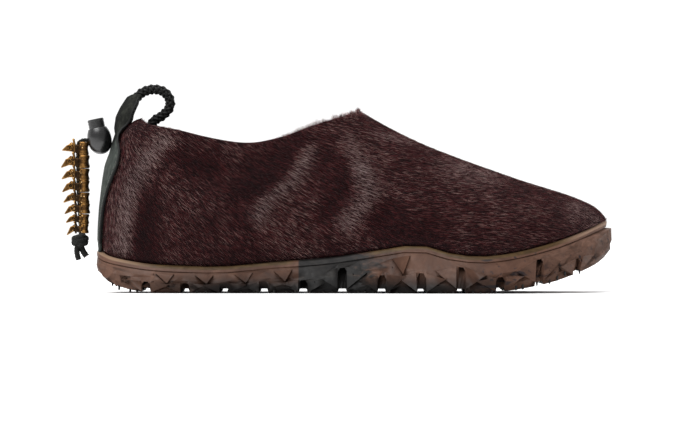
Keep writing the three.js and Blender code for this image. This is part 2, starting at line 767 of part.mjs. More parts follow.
function toggleBody() {
  const bowl = [0, 0.2, 0.4, 0.6, 0.8, 1].map((share) => {
    const turn = share * Math.PI / 2;
    return [toggleRadius * Math.sin(turn), -toggleTop * Math.cos(turn)];
  });
  const shoulder = [[0.97, 0.3], [0.9, 0.62], [0.79, 0.9], [0.75, 1]].map(([r, z]) => (
    [toggleRadius * r, toggleTop * z]));
  const well = [[buttonRadius + gap, toggleTop], [buttonRadius + gap, wellFloor], [0, wellFloor]];
  const body = leaning(lathe([...bowl, ...shoulder, ...well], 16));
  const hole = new THREE.CylinderGeometry(
    cordDiameter / 2 + cordClearance, cordDiameter / 2 + cordClearance, 4 * toggleRadius, 10);
  hole.rotateZ(Math.PI / 2);
  hole.translate(toggleCentre.x, 0, cordLine[0][2]);
  return mesh('toggle_body', geometryFrom(body.subtract(solidOf(hole))), colours.plastic);
}

function toggleButton() {
  const foot = wellFloor + gap + buttonTravel;
  const top = toggleTop + buttonShows;
  const button = lathe([
    [0, foot], [buttonRadius, foot], [buttonRadius, top - 0.7], [buttonRadius - 0.7, top], [0, top + gap],
  ], 18);
  return mesh('toggle_button', geometryFrom(leaning(button)), colours.plastic);
}

function drawcord() {
  return mesh('drawcord', geometryFrom(solidOf(tube(cordLine, cordDiameter, 8, 26))), colours.rope);
}

// The cord's place at a height of its hanging stretch.
function cordAt(height) {
  const hanging = cordLine.slice(hangingFrom).map(([x, , z]) => ({ down: -z, x }));
  return through(hanging, 'down', 'x')(-height);
}

// One vertebra: a waisted body in front of the cord, an arch round it, and a flat spine with a hole
// that points back and down, with a knob on its shoulder.
function vertebra(name, row, middle) {
  const height = vertebraHeight * row.size;
  const size = lerp(1, row.size, 0.9);
  const radius = vertebraRadius * size;
  const canal = cordDiameter / 2 + cordClearance;
  const body = lathe([
    [0, -height / 2], [radius, -height / 2], [radius, -height * 0.38], [radius * 0.8, 0],
    [radius, height * 0.38], [radius, height / 2], [0, height / 2],
  ], 8).translate([radius + canal * 0.35, 0, 0]);
  const archHeight = height * 0.5;
  const arch = new THREE.CylinderGeometry((canal + 1.1) * size, (canal + 1.3) * size, archHeight, 7);
  arch.rotateX(Math.PI / 2);
  const reach = processReach * size;
  const drop = processDrop * row.drop * size;
  const blade = new THREE.Shape([
    new THREE.Vector2(-canal, -height * 0.3),
    new THREE.Vector2(-reach * 0.5, -height * 0.34 - drop * 0.1),
    new THREE.Vector2(-reach, -drop),
    new THREE.Vector2(-reach * 0.62, height * 0.06),
    new THREE.Vector2(-reach * 0.4, height * 0.36),
    new THREE.Vector2(-canal, height * 0.3),
  ]);
  blade.holes.push(new THREE.Path(Array.from({ length: 6 }, (_, i) => {
    const turn = i * Math.PI / 3;
    return new THREE.Vector2(
      -reach * 0.46 + eyeRadius * size * Math.cos(turn), -height * 0.04 + eyeRadius * size * Math.sin(turn));
  })));
  const spine = new THREE.ExtrudeGeometry(blade, {
    depth: processThickness * size, bevelEnabled: false,
  });
  spine.translate(0, 0, -processThickness * size / 2);
  spine.rotateX(Math.PI / 2);
  const knob = new THREE.CylinderGeometry(0.8 * size, size, height * 0.42, 5);
  knob.rotateX(Math.PI / 2);
  knob.scale(1, 1.7, 1);
  knob.rotateY(-0.35);
  knob.translate(-reach * 0.36, 0, height * 0.42);
  const hole = new THREE.CylinderGeometry(canal, canal, 3 * height, 6);
  hole.rotateX(Math.PI / 2);
  const solid = body.add(solidOf(arch)).add(solidOf(spine)).add(solidOf(knob)).subtract(solidOf(hole));
  return mesh(name, geometryFrom(solid.translate([cordAt(middle), 0, middle])), colours.brass);
}

function charm() {
  let top = tabFace.z - charmDrop;
  return vertebraRows.map((row, i) => {
    const height = vertebraHeight * row.size;
    const made = vertebra(`vertebra_${i + 1}`, row, top - height / 2);
    top -= height + vertebraGap;
    return made;
  });
}

// An overhand knot: two slanting wraps round a core, its top just under the cord's end.
function knot() {
  const turn = new THREE.TorusGeometry(knotRadius * 0.62, knotRadius * 0.36, 6, 10);
  const wraps = [
    turn.clone().rotateY(0.36).translate(0, 0, knotRadius * 0.25),
    turn.clone().rotateY(-0.12).translate(-0.3, 0, -knotRadius * 0.27),
    new THREE.SphereGeometry(knotRadius * 0.6, 8, 6).translate(0, 0, knotRadius * 0.23),
  ];
  const [first, ...others] = wraps.map(solidOf);
  const solid = others.reduce((all, wrap) => all.add(wrap), first);
  const [x, , z] = cordLine[cordLine.length - 1];
  const down = z - gap - solid.boundingBox().max[2];
  return mesh('cord_knot', geometryFrom(solid.translate([x - 0.4, 0, down])), colours.rope);
}

const shoe = new THREE.Group();
const onCord = [
  drawcord(),
  ...charm(),
  knot(),
  ...tailRoutes.map((route, i) => (
    mesh(
      `cord_tail_${i + 1}`,
      geometryFrom(solidOf(tube(placed(route, tabFace), cordDiameter, 8, 5))),
      colours.rope,
    ))),
];
shoe.add(outsole(), upper(), insole(), heelTab(), pullLoop(), toggleBody(), toggleButton());
const box = new THREE.Box3().setFromObject(shoe);
shoe.add(...onCord);
shoe.position.set(-(box.min.x + box.max.x) / 2, -(box.min.y + box.max.y) / 2, -box.min.z);

const part = new THREE.Group();
part.add(shoe);

export default part;
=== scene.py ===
# %% [markdown]
# # A slip-on shoe in combed hair, on a faceted rubber sole
# This lesson dresses a measured model of one shoe. The model gives every piece its place and size. Here
# each piece gets what makes it look real: hair, grain, braid, cast metal and worn rubber.

# %% Load the measured model
import math
import random

import bmesh
import bpy
from mathutils import Matrix, Vector, noise
from mathutils.bvhtree import BVHTree


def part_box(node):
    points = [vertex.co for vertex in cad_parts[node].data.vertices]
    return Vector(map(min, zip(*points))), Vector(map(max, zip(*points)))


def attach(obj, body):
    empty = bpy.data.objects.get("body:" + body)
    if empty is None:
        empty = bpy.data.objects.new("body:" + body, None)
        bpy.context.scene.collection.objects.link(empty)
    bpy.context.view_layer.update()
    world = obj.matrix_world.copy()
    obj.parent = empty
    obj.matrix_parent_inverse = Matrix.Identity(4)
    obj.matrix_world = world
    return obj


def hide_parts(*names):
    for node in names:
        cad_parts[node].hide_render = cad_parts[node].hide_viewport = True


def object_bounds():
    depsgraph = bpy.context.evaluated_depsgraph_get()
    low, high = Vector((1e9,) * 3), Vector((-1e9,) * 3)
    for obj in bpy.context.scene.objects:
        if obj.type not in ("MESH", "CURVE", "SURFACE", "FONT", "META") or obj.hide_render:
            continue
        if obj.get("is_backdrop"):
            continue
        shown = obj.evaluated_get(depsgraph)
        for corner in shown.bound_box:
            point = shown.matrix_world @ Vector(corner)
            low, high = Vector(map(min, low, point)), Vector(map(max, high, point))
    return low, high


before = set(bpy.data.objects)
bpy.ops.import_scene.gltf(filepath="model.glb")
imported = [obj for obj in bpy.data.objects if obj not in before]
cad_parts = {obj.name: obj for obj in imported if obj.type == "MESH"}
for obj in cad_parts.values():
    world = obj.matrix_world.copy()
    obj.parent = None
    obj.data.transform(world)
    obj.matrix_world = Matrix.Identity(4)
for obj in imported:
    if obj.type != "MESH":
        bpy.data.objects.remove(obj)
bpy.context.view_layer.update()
random.seed(7)

# %% [markdown]
# The shoe was measured in millimetres from the back of its heel, so every number below is easier to read
# that way: x runs to the toe, z up from the floor, and the outer side is at negative y. One helper turns
# such a point into the scene's metres. It finds the heel from the sole's own box.

# %% Measure from the heel
MM = 0.001
SOLE_CORNER = Vector((-0.045, -54.770, 0.0))
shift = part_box("outsole")[0] / MM - SOLE_CORNER


def at(x, y, z):
    return (Vector((x, y, z)) + shift) * MM


def from_heel(point):
    return point / MM - shift


print("heel's back is at x =", round(at(0, 0, 0).x, 5))

# %% [markdown]
# The photograph is a level side view through a long lens. One of its pixels is 0.573 mm on the shoe, so the
# width of the picture says how far the lens has to reach. The camera stands level with the middle of the
# picture and looks across the shoe, with no tilt.

# %% Camera
PICTURE = (689, 439)
PIXEL = 0.573 * MM
CAMERA_AWAY = 2.6
PLANE_OFF = 0.02
camera_data = bpy.data.cameras.new("camera")
camera = bpy.data.objects.new("camera", camera_data)
bpy.context.scene.collection.objects.link(camera)
bpy.context.scene.camera = camera
camera_data.sensor_width = 36
camera_data.lens = camera_data.sensor_width * CAMERA_AWAY / (PICTURE[0] * PIXEL)
camera.location = at(141.8, 0, 42) - Vector((0, CAMERA_AWAY + PLANE_OFF, 0))
camera.rotation_euler = (math.pi / 2, 0, 0)
camera_data.clip_end = 50
print("lens", round(camera_data.lens, 1), "mm")

# %% [markdown]
# The free cord is settled before anything else, as a cord maker would: it leaves the leather tab, runs
# through the cord lock, bends over the first bone and hangs straight down to its knot. The photograph
# shows all of it. A cord is a thin tube along a few points, and a smooth curve runs through them.

# %% The cord's line
TAB_FACE = (7.9, 0.0, 87.4)
CORD_POINTS = [
    (-0.9, 0, 0), (-5.9, 0, 0), (-10.9, 0, 0), (-13.3, 0, 0.1), (-15.5, 0, 0.5), (-17.8, 0, 0.1),
    (-19.5, 0, -1.3), (-20, 0, -3.4), (-20, 0, -7.4), (-20, 0, -13.2), (-19.9, 0, -19.4),
    (-19.8, 0, -26), (-19.5, 0, -32.6), (-19.1, 0, -38.6), (-18.8, 0, -44.6), (-18.5, 0, -50.4),
    (-18.4, 0, -53.8),
]
CORD_WIDE = 2.2


def smooth_line(points, spacing):
    """A smooth curve through points in millimetres, cut to equal steps of about spacing."""
    ends = [2 * Vector(points[0]) - Vector(points[1]), *map(Vector, points),
            2 * Vector(points[-1]) - Vector(points[-2])]
    fine = []
    for a, b, c, d in zip(ends, ends[1:], ends[2:], ends[3:]):
        for k in range(20):
            t = k / 20
            fine.append(0.5 * (2 * b + (c - a) * t + (2 * a - 5 * b + 4 * c - d) * t * t
                               + (3 * b - a - 3 * c + d) * t ** 3))
    fine.append(Vector(points[-1]))
    run = [0.0]
    for a, b in zip(fine, fine[1:]):
        run.append(run[-1] + (b - a).length)
    steps = max(2, round(run[-1] / spacing))
    line, i = [], 0
    for k in range(steps + 1):
        want = run[-1] * k / steps
        while i < len(run) - 2 and run[i + 1] < want:
            i += 1
        share = (want - run[i]) / max(run[i + 1] - run[i], 1e-9)
        line.append(fine[i].lerp(fine[i + 1], share))
    return line, run[-1]


cord_line, cord_length = smooth_line(
    [tuple(a + b for a, b in zip(TAB_FACE, p)) for p in CORD_POINTS], 0.5)
print("cord length", round(cord_length, 1), "mm")

# %% [markdown]
# Every braid here is made in one way: a few round strands wind along a line, half of them to the left and
# half to the right, and rise and dip so that they pass over and under each other. A curve with a round
# bevel is the quickest tube there is, so each strand is one spline, and the curve is then made a mesh.


# %% Strands along a line
def frames_along(line):
    """A point, a side and an up for each step of a line, carried along it without twist."""
    side = Vector((0, 1, 0))
    found = []
    for i, point in enumerate(line):
        ahead = (line[min(i + 1, len(line) - 1)] - line[max(i - 1, 0)]).normalized()
        side = (side - ahead * side.dot(ahead)).normalized()
        found.append((point, side.copy(), ahead.cross(side)))
    return found


def tubes(name, paths, radius, sides=6, taper=None):
    """A mesh of closed round tubes along paths in millimetres."""
    curve = bpy.data.curves.new(name, "CURVE")
    curve.dimensions = "3D"
    curve.bevel_depth = radius * MM
    curve.bevel_resolution = (sides - 4) // 2
    curve.use_fill_caps = True
    for path in paths:
        spline = curve.splines.new("POLY")
        spline.points.add(len(path) - 1)
        for i, point in enumerate(path):
            spline.points[i].co = (*at(*point), 1)
            spline.points[i].radius = taper(i / (len(path) - 1)) if taper else 1
    held = bpy.data.objects.new(name, curve)
    bpy.context.scene.collection.objects.link(held)
    mesh = bpy.data.meshes.new_from_object(held.evaluated_get(bpy.context.evaluated_depsgraph_get()))
    bpy.data.objects.remove(held)
    bpy.data.curves.remove(curve)
    return mesh

# %% [markdown]
# A braid also needs the paths of its strands. Each is a screw round the line that swells and shrinks once
# for every strand it meets, which takes it over one and under the next.


# %% Paths of a braid
def braid_paths(line, radius, strand, pairs, pitch):
    """Paths of strands that cross over and under each other round a line."""
    spacing = (line[1] - line[0]).length
    places = frames_along(line)
    paths = []
    for way in (1, -1):
        for k in range(pairs):
            path = []
            for i, (point, side, up) in enumerate(places):
                turn = 2 * math.pi * (way * i * spacing / pitch + k / pairs)
                lift = 0.5 * strand * way * math.cos(pairs * 2 * math.pi * i * spacing / pitch)
                out = radius - strand + lift
                path.append(point + out * (side * math.cos(turn) + up * math.sin(turn)))
            paths.append(path)
    return paths


# %% [markdown]
# A material is a small network of nodes. A few helpers keep the networks short: one adds a node and wires
# what it is given, one mixes two colours, and one does arithmetic. Colours are written as they look on a
# screen, from 0 to 255.


# %% Helpers for materials
def rgb(r, g, b):
    def linear(v):
        v /= 255
        return v / 12.92 if v <= 0.04045 else ((v + 0.055) / 1.055) ** 2.4
    return (linear(r), linear(g), linear(b), 1)


def node(mat, kind, settings=None, **inputs):
    made = mat.node_tree.nodes.new(kind)
    for key, value in (settings or {}).items():
        setattr(made, key, value)
    for key, value in inputs.items():
        put(mat, made.inputs[key.replace("_", " ")], value)
    return made


def put(mat, socket, value):
    if isinstance(value, bpy.types.NodeSocket):
        mat.node_tree.links.new(value, socket)
    else:
        socket.default_value = value


def mix(mat, share, a, b, kind="MIX"):
    made = node(mat, "ShaderNodeMix", {"data_type": "RGBA", "blend_type": kind})
    for socket, value in zip((made.inputs[0], made.inputs[6], made.inputs[7]), (share, a, b)):
        put(mat, socket, value)
    return made.outputs[2]


def math_node(mat, kind, a, b=0.0, clamp=False):
    made = node(mat, "ShaderNodeMath", {"operation": kind, "use_clamp": clamp})
    put(mat, made.inputs[0], a)
    put(mat, made.inputs[1], b)
    return made.outputs[0]

# %% [markdown]
# Three more helpers shape a value: a mask that rises between two limits, a ramp of colours, and a bump.
# Most of the layers on the shoe are a mask over a ramp.


# %% Masks, ramps and bumps
def between(mat, value, low, high, smooth=True):
    """0 below low, 1 above high."""
    made = node(mat, "ShaderNodeMapRange", {"interpolation_type": "SMOOTHSTEP" if smooth else "LINEAR"})
    for socket, what in zip(made.inputs, (value, low, high, 0.0, 1.0)):
        put(mat, socket, what)
    return made.outputs[0]


def ramp(mat, value, *stops):
    made = node(mat, "ShaderNodeValToRGB")
    put(mat, made.inputs[0], value)
    steps = made.color_ramp.elements
    while len(steps) < len(stops):
        steps.new(0.5)
    for step, (place, colour) in zip(steps, stops):
        step.position = place
        step.color = colour
    return made.outputs[0]


def bump(mat, height, strength, distance, normal=None):
    made = node(mat, "ShaderNodeBump", Strength=strength, Distance=distance, Height=height)
    if normal:
        put(mat, made.inputs["Normal"], normal)
    return made.outputs[0]

# %% [markdown]
# Noise needs a place to live in. Object coordinates serve all through, because every piece stays at the
# origin: noise is then in metres, and a place on the shoe can be asked for in millimetres from the heel.


# %% A material, its noise and its places
def material(name, **sockets):
    """A named material with its one shader, whose uniform values sit on the shader's own sockets."""
    mat = bpy.data.materials.new(name)
    mat.use_nodes = True
    shader = mat.node_tree.nodes["Principled BSDF"]
    for key, value in sockets.items():
        put(mat, shader.inputs[key.replace("_", " ")], value)
    return mat, shader.inputs


def grain(mat, scale, detail=3, rough=0.55, stretch=None, turn=None, distortion=0.0):
    """Noise on the object's own coordinates, in metres, stretched along an axis where asked."""
    where = node(mat, "ShaderNodeTexCoord").outputs["Object"]
    if stretch or turn:
        where = node(mat, "ShaderNodeMapping", Vector=where, Scale=stretch or (1, 1, 1),
                     Rotation=turn or (0, 0, 0)).outputs[0]
    return node(mat, "ShaderNodeTexNoise", Vector=where, Scale=scale, Detail=detail, Roughness=rough,
                Distortion=distortion).outputs["Fac"]


def place_xyz(mat):
    """The three object coordinates, in millimetres from the heel's back."""
    where = node(mat, "ShaderNodeTexCoord").outputs["Object"]
    moved = node(mat, "ShaderNodeMapping", Vector=where, Scale=(1 / MM,) * 3, Location=tuple(-shift))
    split = node(mat, "ShaderNodeSeparateXYZ", Vector=moved.outputs[0])
    return split.outputs[0], split.outputs[1], split.outputs[2]


# %% [markdown]
# Pieces are built in a bmesh and then stored as an object. The object stays at the origin, unturned, with
# its place in its mesh, and it rides on the body of the measured model that carries it.


# %% Helpers for pieces
def store(bm, name, mat, body="shoe", smooth=True, sharp=None):
    bmesh.ops.recalc_face_normals(bm, faces=bm.faces)
    mesh = bpy.data.meshes.new(name)
    bm.to_mesh(mesh)
    bm.free()
    return link(mesh, name, mat, body, smooth, sharp)


def link(mesh, name, mat, body="shoe", smooth=True, sharp=None):
    made = bpy.data.objects.new(name, mesh)
    bpy.context.scene.collection.objects.link(made)
    if smooth:
        mesh.shade_smooth()
    if sharp:
        mesh.set_sharp_from_angle(angle=math.radians(sharp))
    for each in mat if isinstance(mat, (list, tuple)) else [mat]:
        mesh.materials.append(each)
    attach(made, body)
    print(name, len(mesh.polygons), "faces")
    return made


def settle(piece):
    """Turns a piece's modifiers into its mesh."""
    shown = piece.evaluated_get(bpy.context.evaluated_depsgraph_get())
    mesh = bpy.data.meshes.new_from_object(shown)
    old = piece.data
    piece.modifiers.clear()
    piece.data = mesh
    bpy.data.meshes.remove(old)
    return piece


def copy_of(name):
    """The mesh of a node of the measured model, merged, with its triangles joined to quads."""
    bm = bmesh.new()
    bm.from_mesh(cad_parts[name].data)
    bmesh.ops.remove_doubles(bm, verts=bm.verts, dist=2e-6)
    bmesh.ops.join_triangles(bm, faces=bm.faces, angle_face_threshold=math.radians(50),
                             angle_shape_threshold=math.radians(60), cmp_seam=False, cmp_sharp=False,
                             cmp_uvs=False, cmp_vcols=False, cmp_materials=False)
    return bm

# %% [markdown]
# ## The cord, its knot and its tails
# The real cord is a fine black braid that takes the light only on its ridges. Its colour comes from noise
# as fine as the yarn, and its roughness is high. A cut tail shows the white core yarn.

# %% Cord materials
def braid_material(name, dark, light, yarn):
    mat, shader = material(name, Roughness=0.6, Specular_IOR_Level=0.2)
    fine = grain(mat, yarn, detail=4, rough=0.7)
    put(mat, shader["Base Color"], ramp(mat, fine, (0.3, dark), (0.75, light)))
    put(mat, shader["Normal"], bump(mat, fine, 0.5, 0.0002))
    return mat


cord_black = braid_material("cord_black", rgb(6, 6, 6), rgb(34, 35, 32), 1900)
rope_black = braid_material("rope_black", rgb(4, 4, 4), rgb(26, 26, 25), 1500)
core_white, shader = material("core_white", Roughness=0.9)
put(core_white, shader["Base Color"],
    ramp(core_white, grain(core_white, 2200), (0.3, rgb(150, 140, 146)), (0.7, rgb(226, 218, 224))))

# %% [markdown]
# The cord itself is four strands each way round the line, with one more straight down its middle so that
# no light shows through. The real one is a woven sleeve over yarn, and this copies its outside. It takes
# the place of the plain rod in the measured model.

# %% Cord
CORD_STRAND = 0.42
cord_paths = braid_paths(cord_line, CORD_WIDE / 2, CORD_STRAND, 4, 5.5) + [cord_line]
cord = link(tubes("cord", cord_paths, CORD_STRAND), "cord", cord_black)
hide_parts("drawcord")

# %% [markdown]
# The knot is the cord's end doubled and wrapped round itself, pulled tight. A helix that leans, with a
# thicker braid, gives the slanting wraps that the photograph shows. Two tails leave it below.

# %% Knot
KNOT = Vector((-10.9, 0, 29.9))
KNOT_TURNS = 2.1
knot_points = [(0.4, 0, 3.4), (1.8, -1.6, 3.0)]
for k in range(27):
    turn = -math.pi / 3 - 2 * math.pi * KNOT_TURNS * k / 26
    wide = 2.7 + 0.25 * math.sin(math.pi * k / 26)
    knot_points.append((wide * math.cos(turn) * 1.12, wide * math.sin(turn) * 0.82,
                        2.2 - 4.5 * k / 26 + 0.22 * wide * math.cos(turn)))
knot_points += [(0.2, 0.6, -3.0), (-0.6, 0, -3.6)]
knot_line, _ = smooth_line([tuple(KNOT + Vector(p)) for p in knot_points], 0.6)
knot = link(tubes("knot", braid_paths(knot_line, 1.85, 0.36, 7, 9), 0.36), "knot", cord_black)
knot_core = link(tubes("knot_core", [knot_line], 1.5, 8), "knot_core", cord_black)
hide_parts("cord_knot")

# %% [markdown]
# Each tail is a short piece of the same braid. A sleeve is hollow, so a dark filling goes inside it and a
# white core ends in it. The second tail is cut more openly than the first, so its core is wider.

# %% Tails
TAILS = [
    ([(-12.3, -0.6, 27.2), (-12.7, -0.9, 24.6), (-12.4, -1.1, 21.6), (-11.6, -1.2, 18.9)], 1.6, 0.3),
    ([(-10.6, 0.3, 27.4), (-9.8, -0.2, 25.2), (-8.6, -0.6, 22.9), (-7.2, -0.8, 20.9)], 1.75, 0.68),
]
TAIL_STRAND = 0.36
tails = []
for number, (points, wide, core_share) in enumerate(TAILS, 1):
    line, _ = smooth_line(points, 0.45)
    end, before = line[-1], line[-3]
    core_line = [before, before.lerp(end, 0.7), end + (end - before) * 0.3]
    tail = link(tubes(f"tail_{number}", braid_paths(line, wide, TAIL_STRAND, 6, 8), TAIL_STRAND),
                f"tail_{number}", cord_black)
    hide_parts(f"cord_tail_{number}")
    fill = link(tubes(f"tail_fill_{number}", [line], wide - 0.4, 10), f"tail_fill_{number}",
                cord_black)
    core = link(tubes(f"tail_core_{number}", [core_line], wide * core_share, 10), f"tail_core_{number}",
                core_white)
    tails += [tail, fill, core]

# %% [markdown]
# ## The charm
# Eight bones of a backbone hang on the cord, cast in brass and darkened in their hollows. Each is a waisted
# body in front, an arch round the cord, a flat pierced spine that points back and down, and small knobs on
# its shoulder. Casting leaves soft corners, so the parts are only pushed together and then remade as one
# skin of small voxels, which blends every joint.

# %% Antique brass
brass, shader = material("antique_brass", Metallic=0.9)
x_mm = place_xyz(brass)[0]
edge = node(brass, "ShaderNodeNewGeometry").outputs["Pointiness"]
worn = math_node(brass, "ADD", between(brass, edge, 0.43, 0.58, smooth=False), math_node(
    brass, "MULTIPLY", math_node(brass, "SUBTRACT", grain(brass, 520, detail=4, rough=0.6), 0.5), 0.8),
    clamp=True)
metal = ramp(brass, worn, (0.2, rgb(16, 10, 5)), (0.45, rgb(74, 50, 24)), (0.7, rgb(148, 108, 56)),
             (1.0, rgb(236, 204, 150)))
# Painted shade, with a painted dark reflection of the shoe, on the side of each bone that faces the shoe,
# and painted shade in the column round the cord's canal. Both mix the metal toward dark brown.
painted_shade = math_node(brass, "MULTIPLY", between(brass, x_mm, -8.6, -6.0), 0.62)
canal_shade = math_node(
    brass, "SUBTRACT", between(brass, x_mm, -14.2, -13.6), between(brass, x_mm, -11.4, -10.8))
painted_shade = math_node(brass, "MAXIMUM", painted_shade, math_node(brass, "MULTIPLY", canal_shade, 0.9))
put(brass, shader["Base Color"], mix(brass, painted_shade, metal, rgb(24, 14, 6)))
put(brass, shader["Roughness"], between(brass, grain(brass, 1400), -1.0, 2.2, smooth=False))
put(brass, shader["Normal"], bump(brass, grain(brass, 620, detail=4), 0.4, 0.0003))


# %% [markdown]
# A bone is put together from four plain shapes, so each gets a helper: a profile spun round an upright
# line, a ball, a tapered rod, and a flat plate with a round eye. An operator makes every one of them, and
# the helper only says where it goes.


# %% Shapes for a bone
def new_since(bm, before):
    return [v for v in bm.verts if v not in before]


def spun(bm, profile, place, closed=False, steps=24):
    """A shape spun round an upright line; profile gives radius and height, in order."""
    before = set(bm.verts)
    verts = [bm.verts.new((r, 0, z)) for r, z in profile]
    pairs = list(zip(verts, verts[1:])) + ([(verts[-1], verts[0])] if closed else [])
    edges = [bm.edges.new(pair) for pair in pairs]
    bmesh.ops.spin(bm, geom=verts + edges, cent=(0, 0, 0), axis=(0, 0, 1), angle=2 * math.pi,
                   steps=steps, use_merge=True)
    bmesh.ops.remove_doubles(bm, verts=new_since(bm, before), dist=1e-4)
    made = new_since(bm, before)
    bmesh.ops.transform(bm, matrix=place, verts=made)
    return made


def ball(bm, middle, size):
    made = bmesh.ops.create_uvsphere(bm, u_segments=12, v_segments=8, radius=1)["verts"]
    bmesh.ops.transform(bm, matrix=Matrix.Translation(middle) @ Matrix.Diagonal((*size, 1)), verts=made)


def rod(bm, start, end, wide, thin):
    start, end = Vector(start), Vector(end)
    made = bmesh.ops.create_cone(bm, cap_ends=True, segments=12, radius1=wide, radius2=thin,
                                 depth=(end - start).length)["verts"]
    turn = (end - start).to_track_quat("Z", "Y").to_matrix().to_4x4()
    bmesh.ops.transform(bm, matrix=Matrix.Translation((start + end) / 2) @ turn, verts=made)


def pierced_plate(bm, corners, eye, wide, thick):
    """A flat plate in the x-z plane with a round eye, made by bridging its outline to the eye."""
    before = set(bm.verts)
    corners = [Vector((x, 0, z)) for x, z in corners]
    rim = []
    for a, b in zip(corners, corners[1:] + corners[:1]):
        rim += [bm.verts.new(a), bm.verts.new((a + b) / 2)]
    rim_edges = [bm.edges.new(pair) for pair in zip(rim, rim[1:] + rim[:1])]
    hole = bmesh.ops.create_circle(bm, segments=len(rim), radius=wide)["verts"]
    place = Matrix.Translation((eye[0], 0, eye[1])) @ Matrix.Rotation(math.pi / 2, 4, "X")
    bmesh.ops.transform(bm, matrix=place, verts=hole)
    hole_edges = list({e for v in hole for e in v.link_edges})
    faces = bmesh.ops.bridge_loops(bm, edges=rim_edges + hole_edges)["faces"]
    made = bmesh.ops.extrude_face_region(bm, geom=faces)["geom"]
    bmesh.ops.translate(bm, vec=(0, thick, 0), verts=[v for v in made if isinstance(v, bmesh.types.BMVert)])
    bmesh.ops.translate(bm, vec=(0, -thick / 2, 0), verts=new_since(bm, before))


# %% [markdown]
# Each row of the table is one bone, from the top down: the height of its upper end, how tall it is, its
# size beside the largest, how far its beak drops, and how many degrees it leans. The parts may overlap
# freely, because the remesh keeps only their common outside, and a light smoothing takes the voxels'
# steps away.

# %% One bone
BONE_WIDE = 3.35
REACH = 10.0
CANAL = CORD_WIDE / 2 + 0.35
BONES = [
    (86.8, 7.62, 0.93, 1.2, 1), (79.1, 7.52, 1.01, 3.2, -1), (71.5, 6.82, 0.97, 2.9, 0.6),
    (64.6, 6.82, 0.96, 3.2, -1), (57.7, 6.32, 0.9, 2.9, 0.8), (51.3, 6.02, 0.88, 2.9, -1),
    (45.2, 5.72, 0.79, 2.3, 1), (39.4, 5.45, 0.74, 3.6, -1),
]


def bone(number, x, z, high, size, low, tilt):
    """One bone in millimetres round its canal, remade as one skin and put in place."""
    bm = bmesh.new()
    wide, reach = BONE_WIDE * (0.1 + 0.9 * size), REACH * (0.1 + 0.9 * size)
    front = wide + CANAL * 0.12
    body = [(0, 0.505), (0.86, 0.505), (1, 0.41), (0.96, 0.3), (0.82, 0.08), (0.82, -0.08), (0.96, -0.3),
            (1, -0.41), (0.86, -0.505), (0, -0.505)]
    spun(bm, [(r * wide, h * high) for r, h in body],
         Matrix.Translation((front, 0, 0)) @ Matrix.Diagonal((1, 1.15, 1, 1)))
    inner, outer = CANAL + 0.05, CANAL + 1.05 * size
    spun(bm, [(inner, 0.26 * high), (outer, 0.2 * high), (outer, -0.2 * high), (inner, -0.26 * high)],
         Matrix.Rotation(-0.18, 4, "Y"), closed=True)
    for way in (-1, 1):
        rod(bm, (front - 1.2, way * 1.75, 0.16 * high), (-CANAL, way * 1.6, 0.2 * high), 0.62, 0.7)
        rod(bm, (-CANAL - 0.2, way * 1.1, 0.1 * high), (-CANAL - 1.1, way * 1.25, 0.66 * high), 0.8, 0.62)
        ball(bm, (-CANAL - 1.2, way * 1.25, 0.68 * high), (0.82, 0.7, 0.62))
        ball(bm, (0.1, way * 1.7, 0.5 * high), (0.55, 0.55, 0.6))
        ball(bm, (-0.3, way * 1.75, -0.04 * high), (2.1, 0.6, 0.36 * high))
        ball(bm, (1.7, way * 2.5, 0.3 * high), (0.8, 0.75, 0.8))
        ball(bm, (-reach * 0.36, way * 0.75, 0.32 * high), (0.8, 0.6, 0.7))
        rod(bm, (-CANAL - 0.4, way * 0.9, 0.1 * high), (-CANAL - 0.9, way * 0.8, -0.5 * high), 0.75, 0.55)
        rod(bm, (-CANAL - 0.3, way * 0.75, 0.34 * high), (-reach * 0.66, way * 0.6, 0.2 * high), 0.5, 0.4)
        rod(bm, (-reach * 0.66, way * 0.6, 0.2 * high), (-reach * 0.97, way * 0.2, -low * 0.96), 0.42, 0.25)
        rod(bm, (-reach * 0.48, way * 0.6, -0.19 * high), (-reach * 0.95, way * 0.3, -low * 0.97), 0.4, 0.3)
    ball(bm, (-CANAL - 0.75, 0, -0.02 * high), (0.75, 1.6, 0.5 * high))
    pierced_plate(
        bm, [(-CANAL - 0.2, -0.3 * high), (-reach * 0.5, -0.2 * high - low * 0.12), (-reach, -low),
             (-reach * 0.7, 0.14 * high), (-reach * 0.42, 0.48 * high), (-CANAL - 0.2, 0.36 * high)],
        (-reach * 0.46, 0.04 * high), 0.95 * size, 1.6 * size)
    ball(bm, (-reach * 0.46, 0, 0.04 * high), (1.1 * size, 0.3, 1.1 * size))
    turn = Matrix.Rotation(math.radians(tilt), 4, "Y") @ Matrix.Rotation(math.radians(2 * tilt), 4, "Z")
    bmesh.ops.transform(bm, matrix=Matrix.Translation(at(x, 0, z)) @ turn @ Matrix.Scale(MM, 4),
                        verts=bm.verts)
    made = store(bm, f"bone_{number}", brass)
    skin = made.modifiers.new("skin", "REMESH")
    skin.mode, skin.voxel_size, skin.use_smooth_shade = "VOXEL", 0.21 * MM, True
    soft = made.modifiers.new("soft", "SMOOTH")
    soft.iterations, soft.factor = 2, 0.5
    settle(made)
    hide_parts(f"vertebra_{number}")
    return made


# %% [markdown]
# The bones thread on the cord one below the other. Each takes its height from the table, and its place
# from where the cord is at that height.


# %% Thread the bones
def cord_x(z):
    hanging = [p for p in cord_line if p.x < TAB_FACE[0] - 19]
    return min(hanging, key=lambda p: abs(p.z - z)).x


for number, (top, high, size, low, tilt) in enumerate(BONES, 1):
    middle = top - high / 2
    bone(number, cord_x(middle), middle, high, size, low, tilt)
